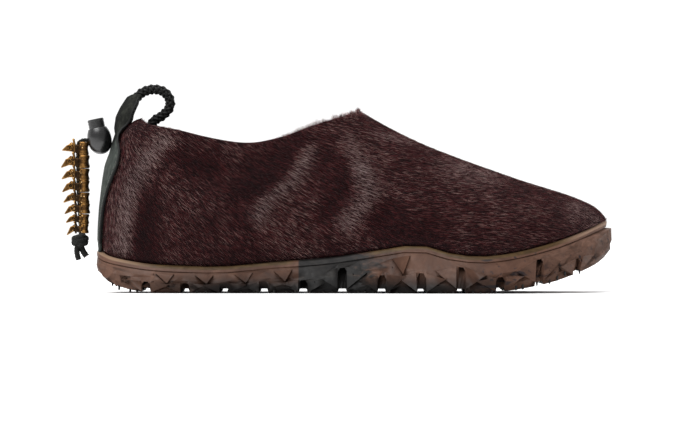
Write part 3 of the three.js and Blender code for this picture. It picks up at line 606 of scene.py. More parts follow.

# %% [markdown]

# %% [markdown]
# ## The cord lock
# A moulded ball with a spring button: the button's ribs stop a thumb from slipping. Both are turned parts,
# so each is a profile spun round the lock's own axis, which leans back a little. The cord's hole is cut
# with a boolean, and a bevel softens its edge.

# %% Satin plastic
def plastic_material(name, dark, light, rough):
    mat, shader = material(name, Specular_IOR_Level=0.75)
    fine = grain(mat, 2600, detail=2)
    put(mat, shader["Base Color"], ramp(mat, grain(mat, 260, detail=5), (0.3, dark), (0.75, light)))
    put(mat, shader["Roughness"], between(mat, fine, -1.2 + rough, 3 + rough, smooth=False))
    put(mat, shader["Normal"], bump(mat, fine, 0.2, 0.0001))
    return mat


lock_grey = plastic_material("lock_grey", rgb(9, 9, 10), rgb(21, 20, 21), 0.45)
button_grey = plastic_material("button_grey", rgb(12, 12, 12), rgb(26, 25, 25), 0.1)

# %% [markdown]
# The lock's outline is an arc, then a neck given in shares of its width and height, and then the well
# that the button slides in. Spun once round the leaning axis, it is a closed solid. A cylinder across it
# is taken away for the cord, and the modifiers are made into mesh at once.

# %% Lock
LOCK = Vector((0.6, 0, 87.4))
LEAN = math.radians(12)
LOCK_WIDE, LOCK_HIGH = 6.95, 7.8
BUTTON_WIDE, BUTTON_TOP = 4.7, 12.9
lean = Matrix.Translation(at(*LOCK)) @ Matrix.Rotation(-LEAN, 4, "Y") @ Matrix.Scale(MM, 4)

bm = bmesh.new()
ball_side = [(LOCK_WIDE * math.sin(a), -LOCK_HIGH * math.cos(a)) for a in
             (math.radians(d) for d in range(0, 100, 8))]
neck = [(0.995, 0.15), (0.99, 0.3), (0.965, 0.47), (0.925, 0.61), (0.875, 0.74), (0.82, 0.85),
        (0.785, 0.92), (0.765, 0.96), (0.75, 0.965)]
well = [(BUTTON_WIDE + 0.15, LOCK_HIGH * 0.96), (BUTTON_WIDE + 0.15, 3.4), (0, 3.4)]
spun(bm, ball_side + [(LOCK_WIDE * r, LOCK_HIGH * z) for r, z in neck] + well, lean, steps=48)
lock = store(bm, "lock", lock_grey, sharp=40)
bm = bmesh.new()
hole = bmesh.ops.create_cone(bm, cap_ends=True, segments=24, radius1=1.5 * MM, radius2=1.5 * MM,
                             depth=30 * MM)["verts"]
bmesh.ops.transform(bm, matrix=Matrix.Translation(at(LOCK.x, 0, TAB_FACE[2]))
                    @ Matrix.Rotation(math.pi / 2, 4, "Y"), verts=hole)
cutter = store(bm, "cutter", lock_grey)
cut = lock.modifiers.new("hole", "BOOLEAN")
cut.object, cut.operation, cut.solver = cutter, "DIFFERENCE", "EXACT"
soften = lock.modifiers.new("soften", "BEVEL")
soften.width, soften.segments, soften.limit_method, soften.angle_limit = 0.25 * MM, 3, "ANGLE", 0.7
settle(lock)
lock.data.set_sharp_from_angle(angle=math.radians(50))
bpy.data.objects.remove(cutter)
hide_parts("toggle_body")

# %% [markdown]
# The button is a turned peg with five ribs under a slightly hollow top. It rides on a body of its own,
# which the measured model lets slide along the same leaning axis.

# %% Button
bm = bmesh.new()
ribs = []
for k in range(5):
    z = BUTTON_TOP - 1.2 - k * 0.85
    ribs += [(BUTTON_WIDE, z), (BUTTON_WIDE, z - 0.45), (BUTTON_WIDE - 0.2, z - 0.55),
             (BUTTON_WIDE - 0.2, z - 0.75)]
shape = [(0, BUTTON_TOP - 0.25), (BUTTON_WIDE * 0.55, BUTTON_TOP - 0.15), (BUTTON_WIDE - 0.5, BUTTON_TOP),
         (BUTTON_WIDE - 0.12, BUTTON_TOP - 0.2), (BUTTON_WIDE, BUTTON_TOP - 0.6)] + ribs
shape += [(BUTTON_WIDE - 0.1, 6.2), (0, 6.2)]
spun(bm, shape, lean, steps=40)
button = store(bm, "button", button_grey, body="button", sharp=35)
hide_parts("toggle_button")

# %% [markdown]
# ## The pull loop
# A black braided rope leaves the inside of the leather leaf, turns over and goes down inside the heel. It
# is braided as the cord is, with eight thicker strands on a dark core.

# %% Pull loop
LOOP = [
    (-5.4, 0, 7.8), (-3.3, 0, 11.4), (-0.9, 0, 14.3), (2.3, 0, 16.3), (6.1, 0, 17.3), (9.7, 0, 17.2),
    (13.1, 0, 16), (15.7, 0, 13.4), (16.9, 0, 10.1), (16.4, 0, 6.8), (14.4, 0, 4.1), (11.6, 0, 1.7),
    (7.9, 0, -0.5), (5.9, 0, -3.4), (4.7, 0, -7.2), (2.3, 0, -11.8),
]
HEEL_EDGE = Vector((24.3, 0, 99.75))
ROPE_WIDE, ROPE_STRAND = 5.4, 0.88
loop_line, loop_length = smooth_line([tuple(HEEL_EDGE + Vector(p)) for p in LOOP], 0.6)
rope_paths = braid_paths(loop_line, ROPE_WIDE / 2, ROPE_STRAND, 4, 12.5)
loop = link(tubes("loop", rope_paths, ROPE_STRAND), "loop", rope_black)
link(tubes("loop_core", [loop_line], ROPE_WIDE / 2 - 1.1, 10), "loop_core", rope_black)
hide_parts("pull_loop")
print("loop length", round(loop_length, 1), "mm")

# %% [markdown]
# ## The sole
# One moulding of gum rubber, marbled with charcoal in the middle and spotted at the ball. Its lugs and
# facets are in the measured model, so its mesh is merged, its flat faces are joined up, and every sharp
# edge gets the small round that a mould leaves. Outer edges get a painted highlight and inner ones painted
# shade, so the new narrow faces are marked, and the colour reads the mark.

# %% Where the rim's top edge runs
RIM = [
    (0, 24.4), (5.1, 21.9), (9.7, 20.3), (15.3, 19.2), (28.5, 16.9), (48.2, 15.5), (73.9, 15.3),
    (96.9, 17.3), (116, 18.7), (142.3, 21.4), (158.1, 23.8), (171.3, 25.8), (181.1, 27.1), (187.7, 26.9),
    (194.3, 25.1),
    (201.9, 22.6), (211.8, 21), (220, 20.9), (229.8, 21.8), (245.2, 24.2), (260.7, 28.5), (275.3, 33.3),
    (286.2, 38), (295, 41.5),
]
RIM_SPAN = (300, 60)


def climb(value, start, over):
    """0 up to start, 1 from start + over on, and straight between."""
    return min(max((value - start) / over, 0), 1)


def from_table(table, x):
    """The value at x on the straight lines between a table's rows."""
    for (x0, v0), (x1, v1) in zip(table, table[1:]):
        if x < x1:
            return v0 + (v1 - v0) * max(0, (x - x0) / (x1 - x0))
    return table[-1][1]


def below_rim(mat, x_mm, z_mm):
    """How far a point of the sole is below the rim's top edge, in millimetres."""
    curve = node(mat, "ShaderNodeFloatCurve")
    points = curve.mapping.curves[0].points
    while len(points) < len(RIM):
        points.new(0.5, 0.5)
    for point, (x, z) in zip(points, RIM):
        point.location = (x / RIM_SPAN[0], z / RIM_SPAN[1])
    curve.mapping.update()
    put(mat, curve.inputs["Value"], math_node(mat, "DIVIDE", x_mm, RIM_SPAN[0]))
    return math_node(mat, "SUBTRACT", math_node(mat, "MULTIPLY", curve.outputs[0], RIM_SPAN[1]), z_mm)


# %% [markdown]
# The colours are mixed in layers, as the rubber was: the gum first, warmer towards the toe, then the
# charcoal between a straight edge behind and a ragged one in front, and then the blue-black spots at the
# ball. Painted light then makes the heel a little paler. Every layer lies behind a mask, made from noise or
# from a place on the shoe.

# %% Rubber
rubber, shader = material("marbled_rubber", Specular_IOR_Level=0.13)
x_mm, _, z_mm = place_xyz(rubber)
cloud = grain(rubber, 60, detail=6, rough=0.65, distortion=0.6)
streak = grain(rubber, 130, detail=5, rough=0.7, stretch=(1, 1, 2.2), distortion=0.8)
gum = ramp(rubber, cloud, (0.3, rgb(48, 31, 24)), (0.52, rgb(72, 49, 38)), (0.72, rgb(94, 68, 55)))
warm = ramp(rubber, streak, (0.3, rgb(66, 46, 37)), (0.7, rgb(100, 74, 62)))
colour = mix(rubber, between(rubber, x_mm, 215, 280), gum, warm)


def inside(mat, value, low, high, soft):
    """1 between low and high, with a soft edge of the given width outside each."""
    rise = between(mat, value, low - soft, low)
    fall = between(mat, value, high, high + soft)
    return math_node(mat, "SUBTRACT", rise, fall, clamp=True)


ragged = math_node(rubber, "MULTIPLY", math_node(rubber, "SUBTRACT", streak, 0.5), 56)
ragged = math_node(rubber, "ADD", x_mm, math_node(
    rubber, "MULTIPLY", ragged, between(rubber, x_mm, 118, 150)))
charcoal = math_node(rubber, "SUBTRACT", between(rubber, x_mm, 115, 116.2),
                     between(rubber, ragged, 148, 172), clamp=True)
ash = ramp(rubber, streak, (0.3, rgb(14, 13, 13)), (0.55, rgb(25, 23, 22)), (0.75, rgb(46, 40, 35)))
colour = mix(rubber, charcoal, colour, ash)
blot = grain(rubber, 70, detail=4, rough=0.6, stretch=(0.6, 1, 1.5), distortion=0.6)
blot = between(rubber, blot, 0.52, 0.6)
speck = between(rubber, grain(rubber, 300, detail=3, rough=0.6), 0.62, 0.68)
blot = math_node(rubber, "MULTIPLY", blot, inside(rubber, x_mm, 222, 250, 14))
speck = math_node(rubber, "MULTIPLY", speck, inside(rubber, x_mm, 222, 300, 10))
spots = math_node(rubber, "MULTIPLY", math_node(rubber, "MAXIMUM", blot, speck), 0.85)
colour = mix(rubber, spots, colour, rgb(27, 26, 31))
# Painted light on the heel: it is mixed a little paler, fading out between 40 and 70 mm.
heel_light = math_node(rubber, "SUBTRACT", 0.12, math_node(
    rubber, "MULTIPLY", between(rubber, x_mm, 40, 70), 0.12))
colour = mix(rubber, heel_light, colour, rgb(136, 106, 92))

# %% [markdown]
# On top come an olive line along the rim that turns pale at both ends, a painted highlight on the outer
# edges, painted shade in the inner ones, and painted shade low on the side under the lugs. The facets of
# heel and toe are low, so two crossed zigzags of height in the bump are enough for them.

# %% Rim line, painted light and shade, and bumps on the rubber
depth = below_rim(rubber, x_mm, z_mm)
olive = ramp(rubber, streak, (0.35, rgb(50, 36, 20)), (0.7, rgb(78, 60, 36)))
olive = mix(rubber, between(rubber, x_mm, 8, 40), rgb(118, 96, 78), olive)
olive = mix(rubber, between(rubber, x_mm, 260, 282), olive, rgb(124, 100, 84))
line = math_node(rubber, "MULTIPLY", inside(rubber, depth, -3, 1.5, 0.6), math_node(
    rubber, "SUBTRACT", 1, inside(rubber, x_mm, 116, 152, 8)))
colour = mix(rubber, line, colour, olive)
# Painted highlight on the narrow faces of outer edges (+1), painted shade on those of inner edges (-1).
edge_shading = node(rubber, "ShaderNodeAttribute", {"attribute_name": "edge_shading"}).outputs["Fac"]
colour = mix(rubber, math_node(rubber, "MULTIPLY", edge_shading, 0.4, clamp=True), colour, rgb(160, 128, 110))
colour = mix(rubber, math_node(rubber, "MULTIPLY", edge_shading, -0.6, clamp=True), colour, rgb(14, 10, 8))
# Painted shade: low on the side of the sole, where the facets face down away from the lamp, the rubber goes
# nearly black, most of all in the middle.
underside_shade = math_node(rubber, "SUBTRACT", 1, between(rubber, z_mm, 2.5, 12.5))
underside_shade = math_node(rubber, "MULTIPLY", underside_shade, inside(rubber, x_mm, 75, 190, 75))
colour = mix(rubber, math_node(rubber, "MULTIPLY", underside_shade, 0.97), colour, rgb(5, 4, 4))
put(rubber, shader["Base Color"], colour)
put(rubber, shader["Roughness"], between(rubber, grain(rubber, 400, detail=4), -0.6, 1.5, smooth=False))
rising = math_node(rubber, "PINGPONG", math_node(rubber, "ADD", x_mm, z_mm), 9)
falling = math_node(rubber, "PINGPONG", math_node(rubber, "SUBTRACT", x_mm, math_node(
    rubber, "MULTIPLY", z_mm, 1.4)), 7)
facets = math_node(rubber, "MULTIPLY", math_node(rubber, "MAXIMUM", rising, falling),
                   between(rubber, depth, 5, 7))
at_the_ends = math_node(rubber, "SUBTRACT", 1, inside(rubber, x_mm, 58, 246, 14))
facets = math_node(rubber, "MULTIPLY", facets, at_the_ends)
skin = bump(rubber, grain(rubber, 900, detail=3), 0.12, 0.0002)
put(rubber, shader["Normal"], bump(rubber, facets, 0.9, 0.00022, skin))

# %% [markdown]
# The measured sole has edges like knives. Bevels round them in order of size: the ribs across the tread,
# then the feet of the lugs, then every edge that is left. Last, the sole is drawn out by a millimetre or
# so at heel and toe, and the rim's tip is raised, to meet the outline in the photograph.

# %% Sole
bm = copy_of("outsole")
bmesh.ops.dissolve_limit(bm, angle_limit=math.radians(2.5), verts=bm.verts, edges=bm.edges)
across = [e for e in bm.edges if len(e.link_faces) == 2 and e.calc_face_angle(0) > math.radians(60)
          and abs(e.verts[0].co.y - e.verts[1].co.y) > 0.9 * e.calc_length() and e.calc_length() > 6 * MM
          and max(v.co.z for v in e.verts) < 32 * MM]
bmesh.ops.bevel(bm, geom=across, offset=0.8 * MM, offset_type="OFFSET", segments=3, profile=0.5,
                affect="EDGES", clamp_overlap=True, material=-1)
print(len(across), "edges across the tread rounded")
foot = [e for e in bm.edges if len(e.link_faces) == 2 and e.calc_face_angle(0) > math.radians(50)
        and max(v.co.z for v in e.verts) < 0.4 * MM and e.calc_length() > 1.5 * MM]
bmesh.ops.bevel(bm, geom=foot, offset=1.1 * MM, offset_type="OFFSET", segments=3, profile=0.5,
                affect="EDGES", clamp_overlap=True, material=-1)
print(len(foot), "edges at the foot of the lugs rounded")
# Faces made by the last bevels are marked for painted light: +1 on outer edges, -1 on inner ones.
edge_shading = bm.faces.layers.float.new("edge_shading")
for amount, convex in ((1, True), (-1, False)):
    edges = [e for e in bm.edges if len(e.link_faces) == 2 and e.calc_face_angle(0) > math.radians(16)
             and e.calc_length() > 0.9 * MM and e.is_convex == convex]
    made = bmesh.ops.bevel(bm, geom=edges, offset=0.3 * MM, offset_type="OFFSET", segments=2, profile=0.5,
                           affect="EDGES", clamp_overlap=True, material=-1)
    for face in made["faces"]:
        face[edge_shading] = amount
    print(len(edges), "outer" if convex else "inner", "edges softened")
for vert in bm.verts:
    place = from_heel(vert.co)
    back = (max(30 - place.x, 0) / 30) ** 2 * (0.9 + 0.6 * climb(place.z, 14, 6))
    ahead = max(place.x - 275, 0) / 20 * (0.4 + 1.3 * climb(place.z, 34, 6))
    vert.co.x += (ahead - back) * MM
    vert.co.z += 0.8 * climb(place.x, 280, 8) * climb(place.z, 35, 4) * MM
sole = store(bm, "sole", rubber, sharp=38)
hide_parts("outsole")

# %% [markdown]
# ## The upper
# One piece of leather, lasted over the foot, with the hair left on and a dark lining inside. Between the
# hairs the hide is almost black, so its colour hardly varies. The lining is a fine diagonal weave, which
# slightly bent bands give at once.

# %% Upper materials
hide, shader = material("hide", Roughness=0.9, Specular_IOR_Level=0.1)
put(hide, shader["Base Color"], ramp(hide, grain(hide, 420, detail=5, rough=0.7), (0.3, rgb(16, 8, 9)),
                                     (0.7, rgb(34, 16, 18))))
lining, shader = material("lining", Roughness=0.95, Specular_IOR_Level=0.2, Sheen_Weight=0.1)
yarn = node(lining, "ShaderNodeTexWave", {"wave_type": "BANDS", "bands_direction": "DIAGONAL"}, Scale=900,
            Vector=node(lining, "ShaderNodeTexCoord").outputs["Object"], Distortion=1.5, Detail=2)
put(lining, shader["Base Color"],
    ramp(lining, yarn.outputs[0], (0.2, rgb(18, 17, 18)), (0.9, rgb(44, 41, 43))))
put(lining, shader["Normal"], bump(lining, yarn.outputs[0], 0.4, 0.0003))


# %% [markdown]
# Subdivision turns the model's flat faces into one soft surface, and creases on its sharp edges keep
# collar and lower edge from shrinking. Only the outside is hide: a face is outside when it looks away
# from a line down the middle of the foot's room. The modifier is made into mesh, because the folds move
# its points.


# %% Smooth the shell
def looks_out(centre, normal):
    place = from_heel(centre)
    middle = Vector((min(max(place.x, 42), 235), 0, 34))
    return normal.dot(place - middle) > 0


bm = copy_of("upper")
bmesh.ops.recalc_face_normals(bm, faces=bm.faces)
crease = bm.edges.layers.float.new("crease_edge")
for edge in bm.edges:
    if len(edge.link_faces) == 2 and edge.calc_face_angle(0) > math.radians(40):
        edge[crease] = 0.5
for face in bm.faces:
    face.material_index = 0 if looks_out(face.calc_center_median(), face.normal) else 1
shell = store(bm, "shell", [hide, lining])
smooth = shell.modifiers.new("smooth", "SUBSURF")
smooth.levels = smooth.render_levels = 2
settle(shell)
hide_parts("upper")

# %% [markdown]
# Worn leather is never as smooth as the last it was made on. Each soft fold below is a line on the side of
# the shoe, with a height and a reach in millimetres. The outer side's lines come from the photograph, and
# the inner side gets its own, gentler ones.

# %% Folds
FOLDS = [
    (-1, 2.0, 8, [(118, 82), (111.2, 70.4), (97.4, 58.3), (91, 46)]),
    (-1, -1.9, 8, [(112, 85), (92.8, 73.2), (80, 66), (66, 62)]),
    (-1, -1.2, 7, [(124, 62), (112, 50), (104, 40)]),
    (-1, 1.9, 9, [(141, 88), (151.3, 69.2), (158.5, 58.5), (149.6, 49.2), (137, 39)]),
    (-1, -1.5, 8, [(158, 84), (168, 68), (172, 55), (162, 42)]),
    (-1, -1.3, 8, [(133, 82), (139, 66), (143, 57), (134, 46)]),
    (-1, -1.6, 10, [(30, 86), (46, 76), (66, 72)]),
    (-1, 1.2, 10, [(20, 92), (34, 84), (46, 86)]),
    (-1, 1.2, 10, [(16, 62), (14, 46), (12, 34)]),
    (-1, -1.2, 9, [(32, 52), (30, 38), (36, 26)]),
    (1, 1.4, 9, [(112, 84), (104, 66), (92, 50)]),
    (1, -1.4, 9, [(98, 82), (88, 68), (72, 60)]),
    (1, 1.3, 10, [(146, 84), (154, 66), (146, 46)]),
    (1, -1.2, 9, [(132, 80), (138, 62), (130, 44)]),
    (1, -1.2, 10, [(40, 80), (56, 66), (60, 48)]),
]


def away_from(line, x, z):
    """The distance from a point to a line of points, all in the side view."""
    here, best = Vector((x, z)), 1e9
    for a, b in zip(line, line[1:]):
        a, b = Vector(a), Vector(b)
        share = min(max((here - a).dot(b - a) / (b - a).length_squared, 0), 1)
        best = min(best, (here - a.lerp(b, share)).length)
    return best


print(len(FOLDS), "folds and hollows")

# %% [markdown]
# Both faces of the leather take a fold, so the wall keeps its thickness. The outline that was measured
# takes in the coat, so the hide alone is then drawn in by the coat's depth. At the toe it goes the other
# way: its lower edge is drawn ahead and down, onto the rim.

# %% Press the folds
COAT_DEEP = 0.7
for vert in shell.data.vertices:
    x, y, z = from_heel(vert.co)
    side = min(abs(y) / 14, 1)
    for way, high, reach, line in FOLDS:
        if way * y > 0:
            vert.co.y += way * side * high * math.exp(-(away_from(line, x, z) / reach) ** 2) * MM
    vert.co.z += 1.4 * math.exp(-((x - 21.5) / 5) ** 2) * climb(z, 84, 12) * MM
hide_points = {i for face in shell.data.polygons if face.material_index == 0 for i in face.vertices}
normals = [normal.vector.copy() for normal in shell.data.vertex_normals]
for i in hide_points:
    vert = shell.data.vertices[i]
    x, y, z = from_heel(vert.co)
    above = (z - from_table(RIM, x)) / 12
    vert.co -= normals[i] * COAT_DEEP * climb(above, 0, 1) * min(max((262 - x) / 18, -1.3), 1) * MM
    ahead = 1.8 * max(x - 262, 0) / 32 * climb(1.1 - above, 0, 1)
    tip = climb(x, 272, 12) * climb(1 - 3 * above, 0, 1)
    vert.co.x += (ahead + 0.7 * tip) * MM
    vert.co.z -= 0.6 * tip * MM
shell.data.update()
print("folds pressed into", len(shell.data.vertices), "points")

# %% [markdown]
# Hair is painted pale on the side of a fold that faces the light, as a painted sheen, and dark in the
# hollows beside it, as painted shade. That painted sheen and shade is placed in the same way, and kept as
# one number for each point of the hide.

# %% Painted sheen and shade on the hair
PAINTED_LIGHT_LINES = [
    (-1, 1.0, 6, [(38, 87), (29, 79), (21.5, 66), (18, 55), (16, 36), (15, 28)]),
    (-1, -0.7, 6, [(42, 79), (52, 75), (64, 73)]),
    (-1, -0.8, 7, [(30, 50), (26, 34), (29, 22)]),
    (-1, 0.9, 4.5, [(120, 82), (116, 73), (110, 64), (101, 57), (95.7, 52.4), (91.5, 44)]),
    (-1, -0.9, 6, [(113, 86), (104, 75), (95, 67), (84, 60)]),
    (-1, 0.5, 6, [(143, 86), (148, 74)]),
    (-1, 0.95, 6, [(151, 69), (155, 57), (149, 48), (141, 41)]),
    (-1, -0.5, 6, [(135, 78), (139, 62), (132, 46)]),
    (-1, 0.4, 3, [(158, 91), (178, 87)]),
    (-1, 0.45, 8, [(204, 71), (220, 68)]),
    (-1, 0.5, 8, [(273, 47), (287, 44)]),
    (-1, -0.6, 10, [(164, 42), (184, 34)]),
    (1, 0.9, 7, [(36, 86), (22, 66), (15, 40)]),
    (1, 0.9, 6, [(114, 80), (104, 64), (94, 48)]),
    (1, -0.8, 6, [(104, 84), (90, 68), (76, 60)]),
    (1, 0.9, 8, [(148, 82), (155, 62), (146, 42)]),
    (1, -0.6, 8, [(134, 72), (136, 50)]),
]


# Painted sheen (above 0) and painted shade (below 0) at a point of the hide.
def painted_light_at(x, y, z):
    return sum(high * math.exp(-(away_from(line, x, z) / reach) ** 2) * min(abs(y) / 10, 1)
               for way, high, reach, line in PAINTED_LIGHT_LINES if way * y > 0)


print("bloom on the second fold", round(painted_light_at(155, -40, 57), 2))

# %% [markdown]
# ## The hair
# Short hair lies along the way it grew: down and forward at the heel, nearly level at the toe. Every point
# of the hide is given that way as an attribute, laid flat on the skin, with the hair's length there and
# the painted sheen and shade. Geometry Nodes will read all three.

# %% Comb the hide
COMB = [(0, 50), (25, 46), (60, 40), (100, 33), (150, 28), (185, 14), (215, 7), (260, 5), (300, 10)]


bm = bmesh.new()
bm.from_mesh(shell.data)
bmesh.ops.delete(bm, geom=[f for f in bm.faces if f.material_index == 1], context="FACES")
comb = bm.verts.layers.float_vector.new("comb")
length = bm.verts.layers.float.new("length")
painted_light = bm.verts.layers.float.new("painted_light")
bm.normal_update()
for vert in bm.verts:
    x, y, z = from_heel(vert.co)
    lean = math.radians(from_table(COMB, x) + 9 * noise.noise(Vector((x, y, z)) / 26))
    way = Vector((math.cos(lean), 0, -math.sin(lean)))
    vert[comb] = (way - vert.normal * way.dot(vert.normal)).normalized()
    vert[painted_light] = painted_light_at(x, y, z)
    vert[length] = 0.5 + 0.5 * min(max((z - from_table(RIM, x)) / 9, 0), 1, max((285 - x) / 20, 0.3),
                                     max((x - 24) / 10, (98 - z) / 10, 0))
hide_face = bpy.data.meshes.new("hide_face")
bm.to_mesh(hide_face)
bm.free()
print("hide has", len(hide_face.polygons), "faces to grow hair on")

# %% [markdown]
# One hair is a cone with three sides that ends in a point. It is copied more than a hundred thousand
# times, so four faces are all it may have. Its points remember whether they belong to the root or to the
# tip.

# %% One hair
HAIR_LONG = 3.9
HAIR_WIDE = 0.115
bm = bmesh.new()
bmesh.ops.create_cone(bm, cap_ends=True, segments=3, radius1=HAIR_WIDE * MM, radius2=0,
                      depth=HAIR_LONG * MM)
bmesh.ops.remove_doubles(bm, verts=bm.verts, dist=1e-7)
bmesh.ops.transform(bm, verts=bm.verts, matrix=Matrix.Rotation(math.pi / 2, 4, "Y")
                    @ Matrix.Translation((0, 0, HAIR_LONG * MM * 0.47)))
along = bm.verts.layers.float.new("along")
for vert in bm.verts:
    vert[along] = 1 if vert.co.x > HAIR_LONG * MM * 0.5 else 0
hair_mesh = bpy.data.meshes.new("hair_one")
bm.to_mesh(hair_mesh)
bm.free()
hair_mesh.shade_smooth()
hair_one = bpy.data.objects.new("hair_one", hair_mesh)
bpy.context.scene.collection.objects.link(hair_one)
print("one hair has", len(hair_mesh.polygons), "faces")

# %% [markdown]
# The planting is the same for each part of the hide: scatter points, remember one random number for each,
# turn the hair so that it lies along the comb and lifts a little, and make the copies real. Hairs differ in
# length, lift and roll, which is what keeps a coat from looking printed.


# %% Plant hairs
def plant(name, skin, count, seed, lift=(4, 13), sweep=7):
    """Hairs on a skin, as one mesh. lift and sweep are angles in degrees."""
    tree = bpy.data.node_groups.new(name, "GeometryNodeTree")
    tree.interface.new_socket("Geometry", in_out="INPUT", socket_type="NodeSocketGeometry")
    tree.interface.new_socket("Geometry", in_out="OUTPUT", socket_type="NodeSocketGeometry")

    def add(kind, settings=None, **inputs):
        made = tree.nodes.new(kind)
        for key, value in (settings or {}).items():
            setattr(made, key, value)
        for key, value in inputs.items():
            socket = made.inputs[key.replace("_", " ")]
            if isinstance(value, bpy.types.NodeSocket):
                tree.links.new(value, socket)
            else:
                socket.default_value = value
        return made

    def chance(low, high, number, kind="FLOAT"):
        made = add("FunctionNodeRandomValue", {"data_type": kind})
        first = 0 if kind == "FLOAT_VECTOR" else 2
        made.inputs[first].default_value, made.inputs[first + 1].default_value = low, high
        made.inputs["Seed"].default_value = seed * 10 + number
        return made.outputs[0 if kind == "FLOAT_VECTOR" else 1]

    start = add("NodeGroupInput")
    area = sum(face.area for face in skin.polygons)
    scatter = add("GeometryNodeDistributePointsOnFaces", {"distribute_method": "RANDOM"},
                  Mesh=start.outputs[0], Density=count / area, Seed=seed)
    shade = add("GeometryNodeStoreNamedAttribute", {"data_type": "FLOAT", "domain": "POINT"},
                Geometry=scatter.outputs["Points"], Name="shade", Value=chance(0.0, 1.0, 1))
    comb = add("GeometryNodeInputNamedAttribute", {"data_type": "FLOAT_VECTOR"}, Name="comb")
    lie = add("FunctionNodeAxesToRotation", {"primary_axis": "Z", "secondary_axis": "X"},
              Primary_Axis=scatter.outputs["Normal"], Secondary_Axis=comb.outputs["Attribute"])
    low = (-math.pi, -math.radians(lift[1]), -math.radians(sweep))
    high = (math.pi, -math.radians(lift[0]), math.radians(sweep))
    turn = add("FunctionNodeEulerToRotation", Euler=chance(low, high, 2, "FLOAT_VECTOR"))
    turned = add("FunctionNodeRotateRotation", {"rotation_space": "LOCAL"}, Rotation=lie.outputs[0],
                 Rotate_By=turn.outputs[0])
    hair = add("GeometryNodeObjectInfo", Object=hair_one)
    length = add("GeometryNodeInputNamedAttribute", {"data_type": "FLOAT"}, Name="length")
    size = add("ShaderNodeMath", {"operation": "MULTIPLY"})
    tree.links.new(length.outputs["Attribute"], size.inputs[0])
    tree.links.new(chance(0.65, 1.15, 3), size.inputs[1])
    copies = add("GeometryNodeInstanceOnPoints", Points=shade.outputs[0], Instance=hair.outputs["Geometry"],
                 Rotation=turned.outputs[0], Scale=size.outputs[0])
    real = add("GeometryNodeRealizeInstances", Geometry=copies.outputs[0])
    end = add("NodeGroupOutput")
    tree.links.new(real.outputs[0], end.inputs[0])

    ground = bpy.data.objects.new(name, skin)
    bpy.context.scene.collection.objects.link(ground)
    ground.modifiers.new("plant", "NODES").node_group = tree
    mesh = bpy.data.meshes.new_from_object(ground.evaluated_get(bpy.context.evaluated_depsgraph_get()))
    bpy.data.objects.remove(ground)
    bpy.data.node_groups.remove(tree)
    mesh.materials.clear()
    return mesh


# %% [markdown]
# The coat takes colour from the random number: most hairs are burgundy black, some are red, and a few are
# grey at the tip. Wide clouds of noise shift whole areas of it, the painted sheen and shade of the folds
# turn hairs pale or dark, and painted shade darkens every hair towards its root.

# %% Hair material
coat, shader = material("coat", Roughness=0.5, Specular_IOR_Level=0.16)
shade = node(coat, "ShaderNodeAttribute", {"attribute_name": "shade"}).outputs["Fac"]
along = node(coat, "ShaderNodeAttribute", {"attribute_name": "along"}).outputs["Fac"]
painted_light = node(coat, "ShaderNodeAttribute", {"attribute_name": "painted_light"}).outputs["Fac"]
patch = math_node(coat, "SUBTRACT", grain(coat, 45, detail=3, rough=0.6), 0.5)
# The painted sheen and shade shift each hair's tone: up on the lit side of folds, down in their hollows.
tone = math_node(coat, "ADD", shade, math_node(coat, "ADD", math_node(coat, "MULTIPLY", patch, 0.5),
                                               math_node(coat, "MULTIPLY", painted_light, 0.3)), clamp=True)
tint = ramp(coat, tone, (0.0, rgb(8, 1, 2)), (0.35, rgb(44, 11, 15)), (0.65, rgb(98, 32, 36)),
            (0.86, rgb(140, 76, 76)), (1.0, rgb(214, 174, 166)))
# Greyish mauve colours of the painted sheen, mixed in on the lit side of folds.
painted_sheen_colour = ramp(coat, tone, (0.0, rgb(18, 8, 10)), (0.4, rgb(78, 50, 52)), (0.75, rgb(142, 112, 112)),
            (1.0, rgb(214, 188, 184)))
tint = mix(coat, math_node(coat, "MULTIPLY", painted_light, 0.72, clamp=True), tint, painted_sheen_colour)
# Painted shade: each hair darkens towards its root, where the coat around it would shade it.
put(coat, shader["Base Color"], mix(coat, math_node(coat, "MULTIPLY", math_node(
    coat, "SUBTRACT", 1, along), 0.8), tint, rgb(8, 2, 3)))

# %% [markdown]
# The coat is planted in six parts along the shoe, so that no single piece grows too heavy to handle. Each
# part gets its share of the hairs by its area, and a seed of its own.

# %% Grow the coat
ZONES = [("hair_heel", -5, 45), ("hair_side", 45, 92), ("hair_collar", 92, 140), ("hair_vamp", 140, 185),
         ("hair_ball", 185, 238), ("hair_toe", 238, 305)]
HAIRS = 160000


def part_of(name, keep):
    """The faces of the hide whose middle passes the test, as a mesh of their own."""
    bm = bmesh.new()
    bm.from_mesh(hide_face)
    gone = [f for f in bm.faces if not keep(from_heel(f.calc_center_median()))]
    bmesh.ops.delete(bm, geom=gone, context="FACES")
    part = bpy.data.meshes.new(name)
    bm.to_mesh(part)
    bm.free()
    return part


all_area = sum(face.area for face in hide_face.polygons)
for seed, (name, start, end) in enumerate(ZONES, 1):
    part = part_of(name, lambda place: start <= place.x < end)
    count = HAIRS * sum(face.area for face in part.polygons) / all_area
    link(plant(name, part, count, seed), name, coat, smooth=False)

# %% [markdown]
# Along the front of the collar the hair has no neighbour to lie on, so it stands up and makes a fringe.
# It is a second, thin planting on the few millimetres below the edge, whose height is in the table. Its
# comb points upward, its hairs lift more, and they grow shorter towards both ends.

# %% Fringe
COLLAR = [(94, 86.5), (100, 87.5), (104.9, 89.2), (126.8, 97.8), (148.7, 104.4), (153, 102.4), (160, 98.9)]
FRINGE_DEEP = 3

def near_collar(place):
    return 94 < place.x < 160 and place.z > from_table(COLLAR, place.x) - FRINGE_DEEP


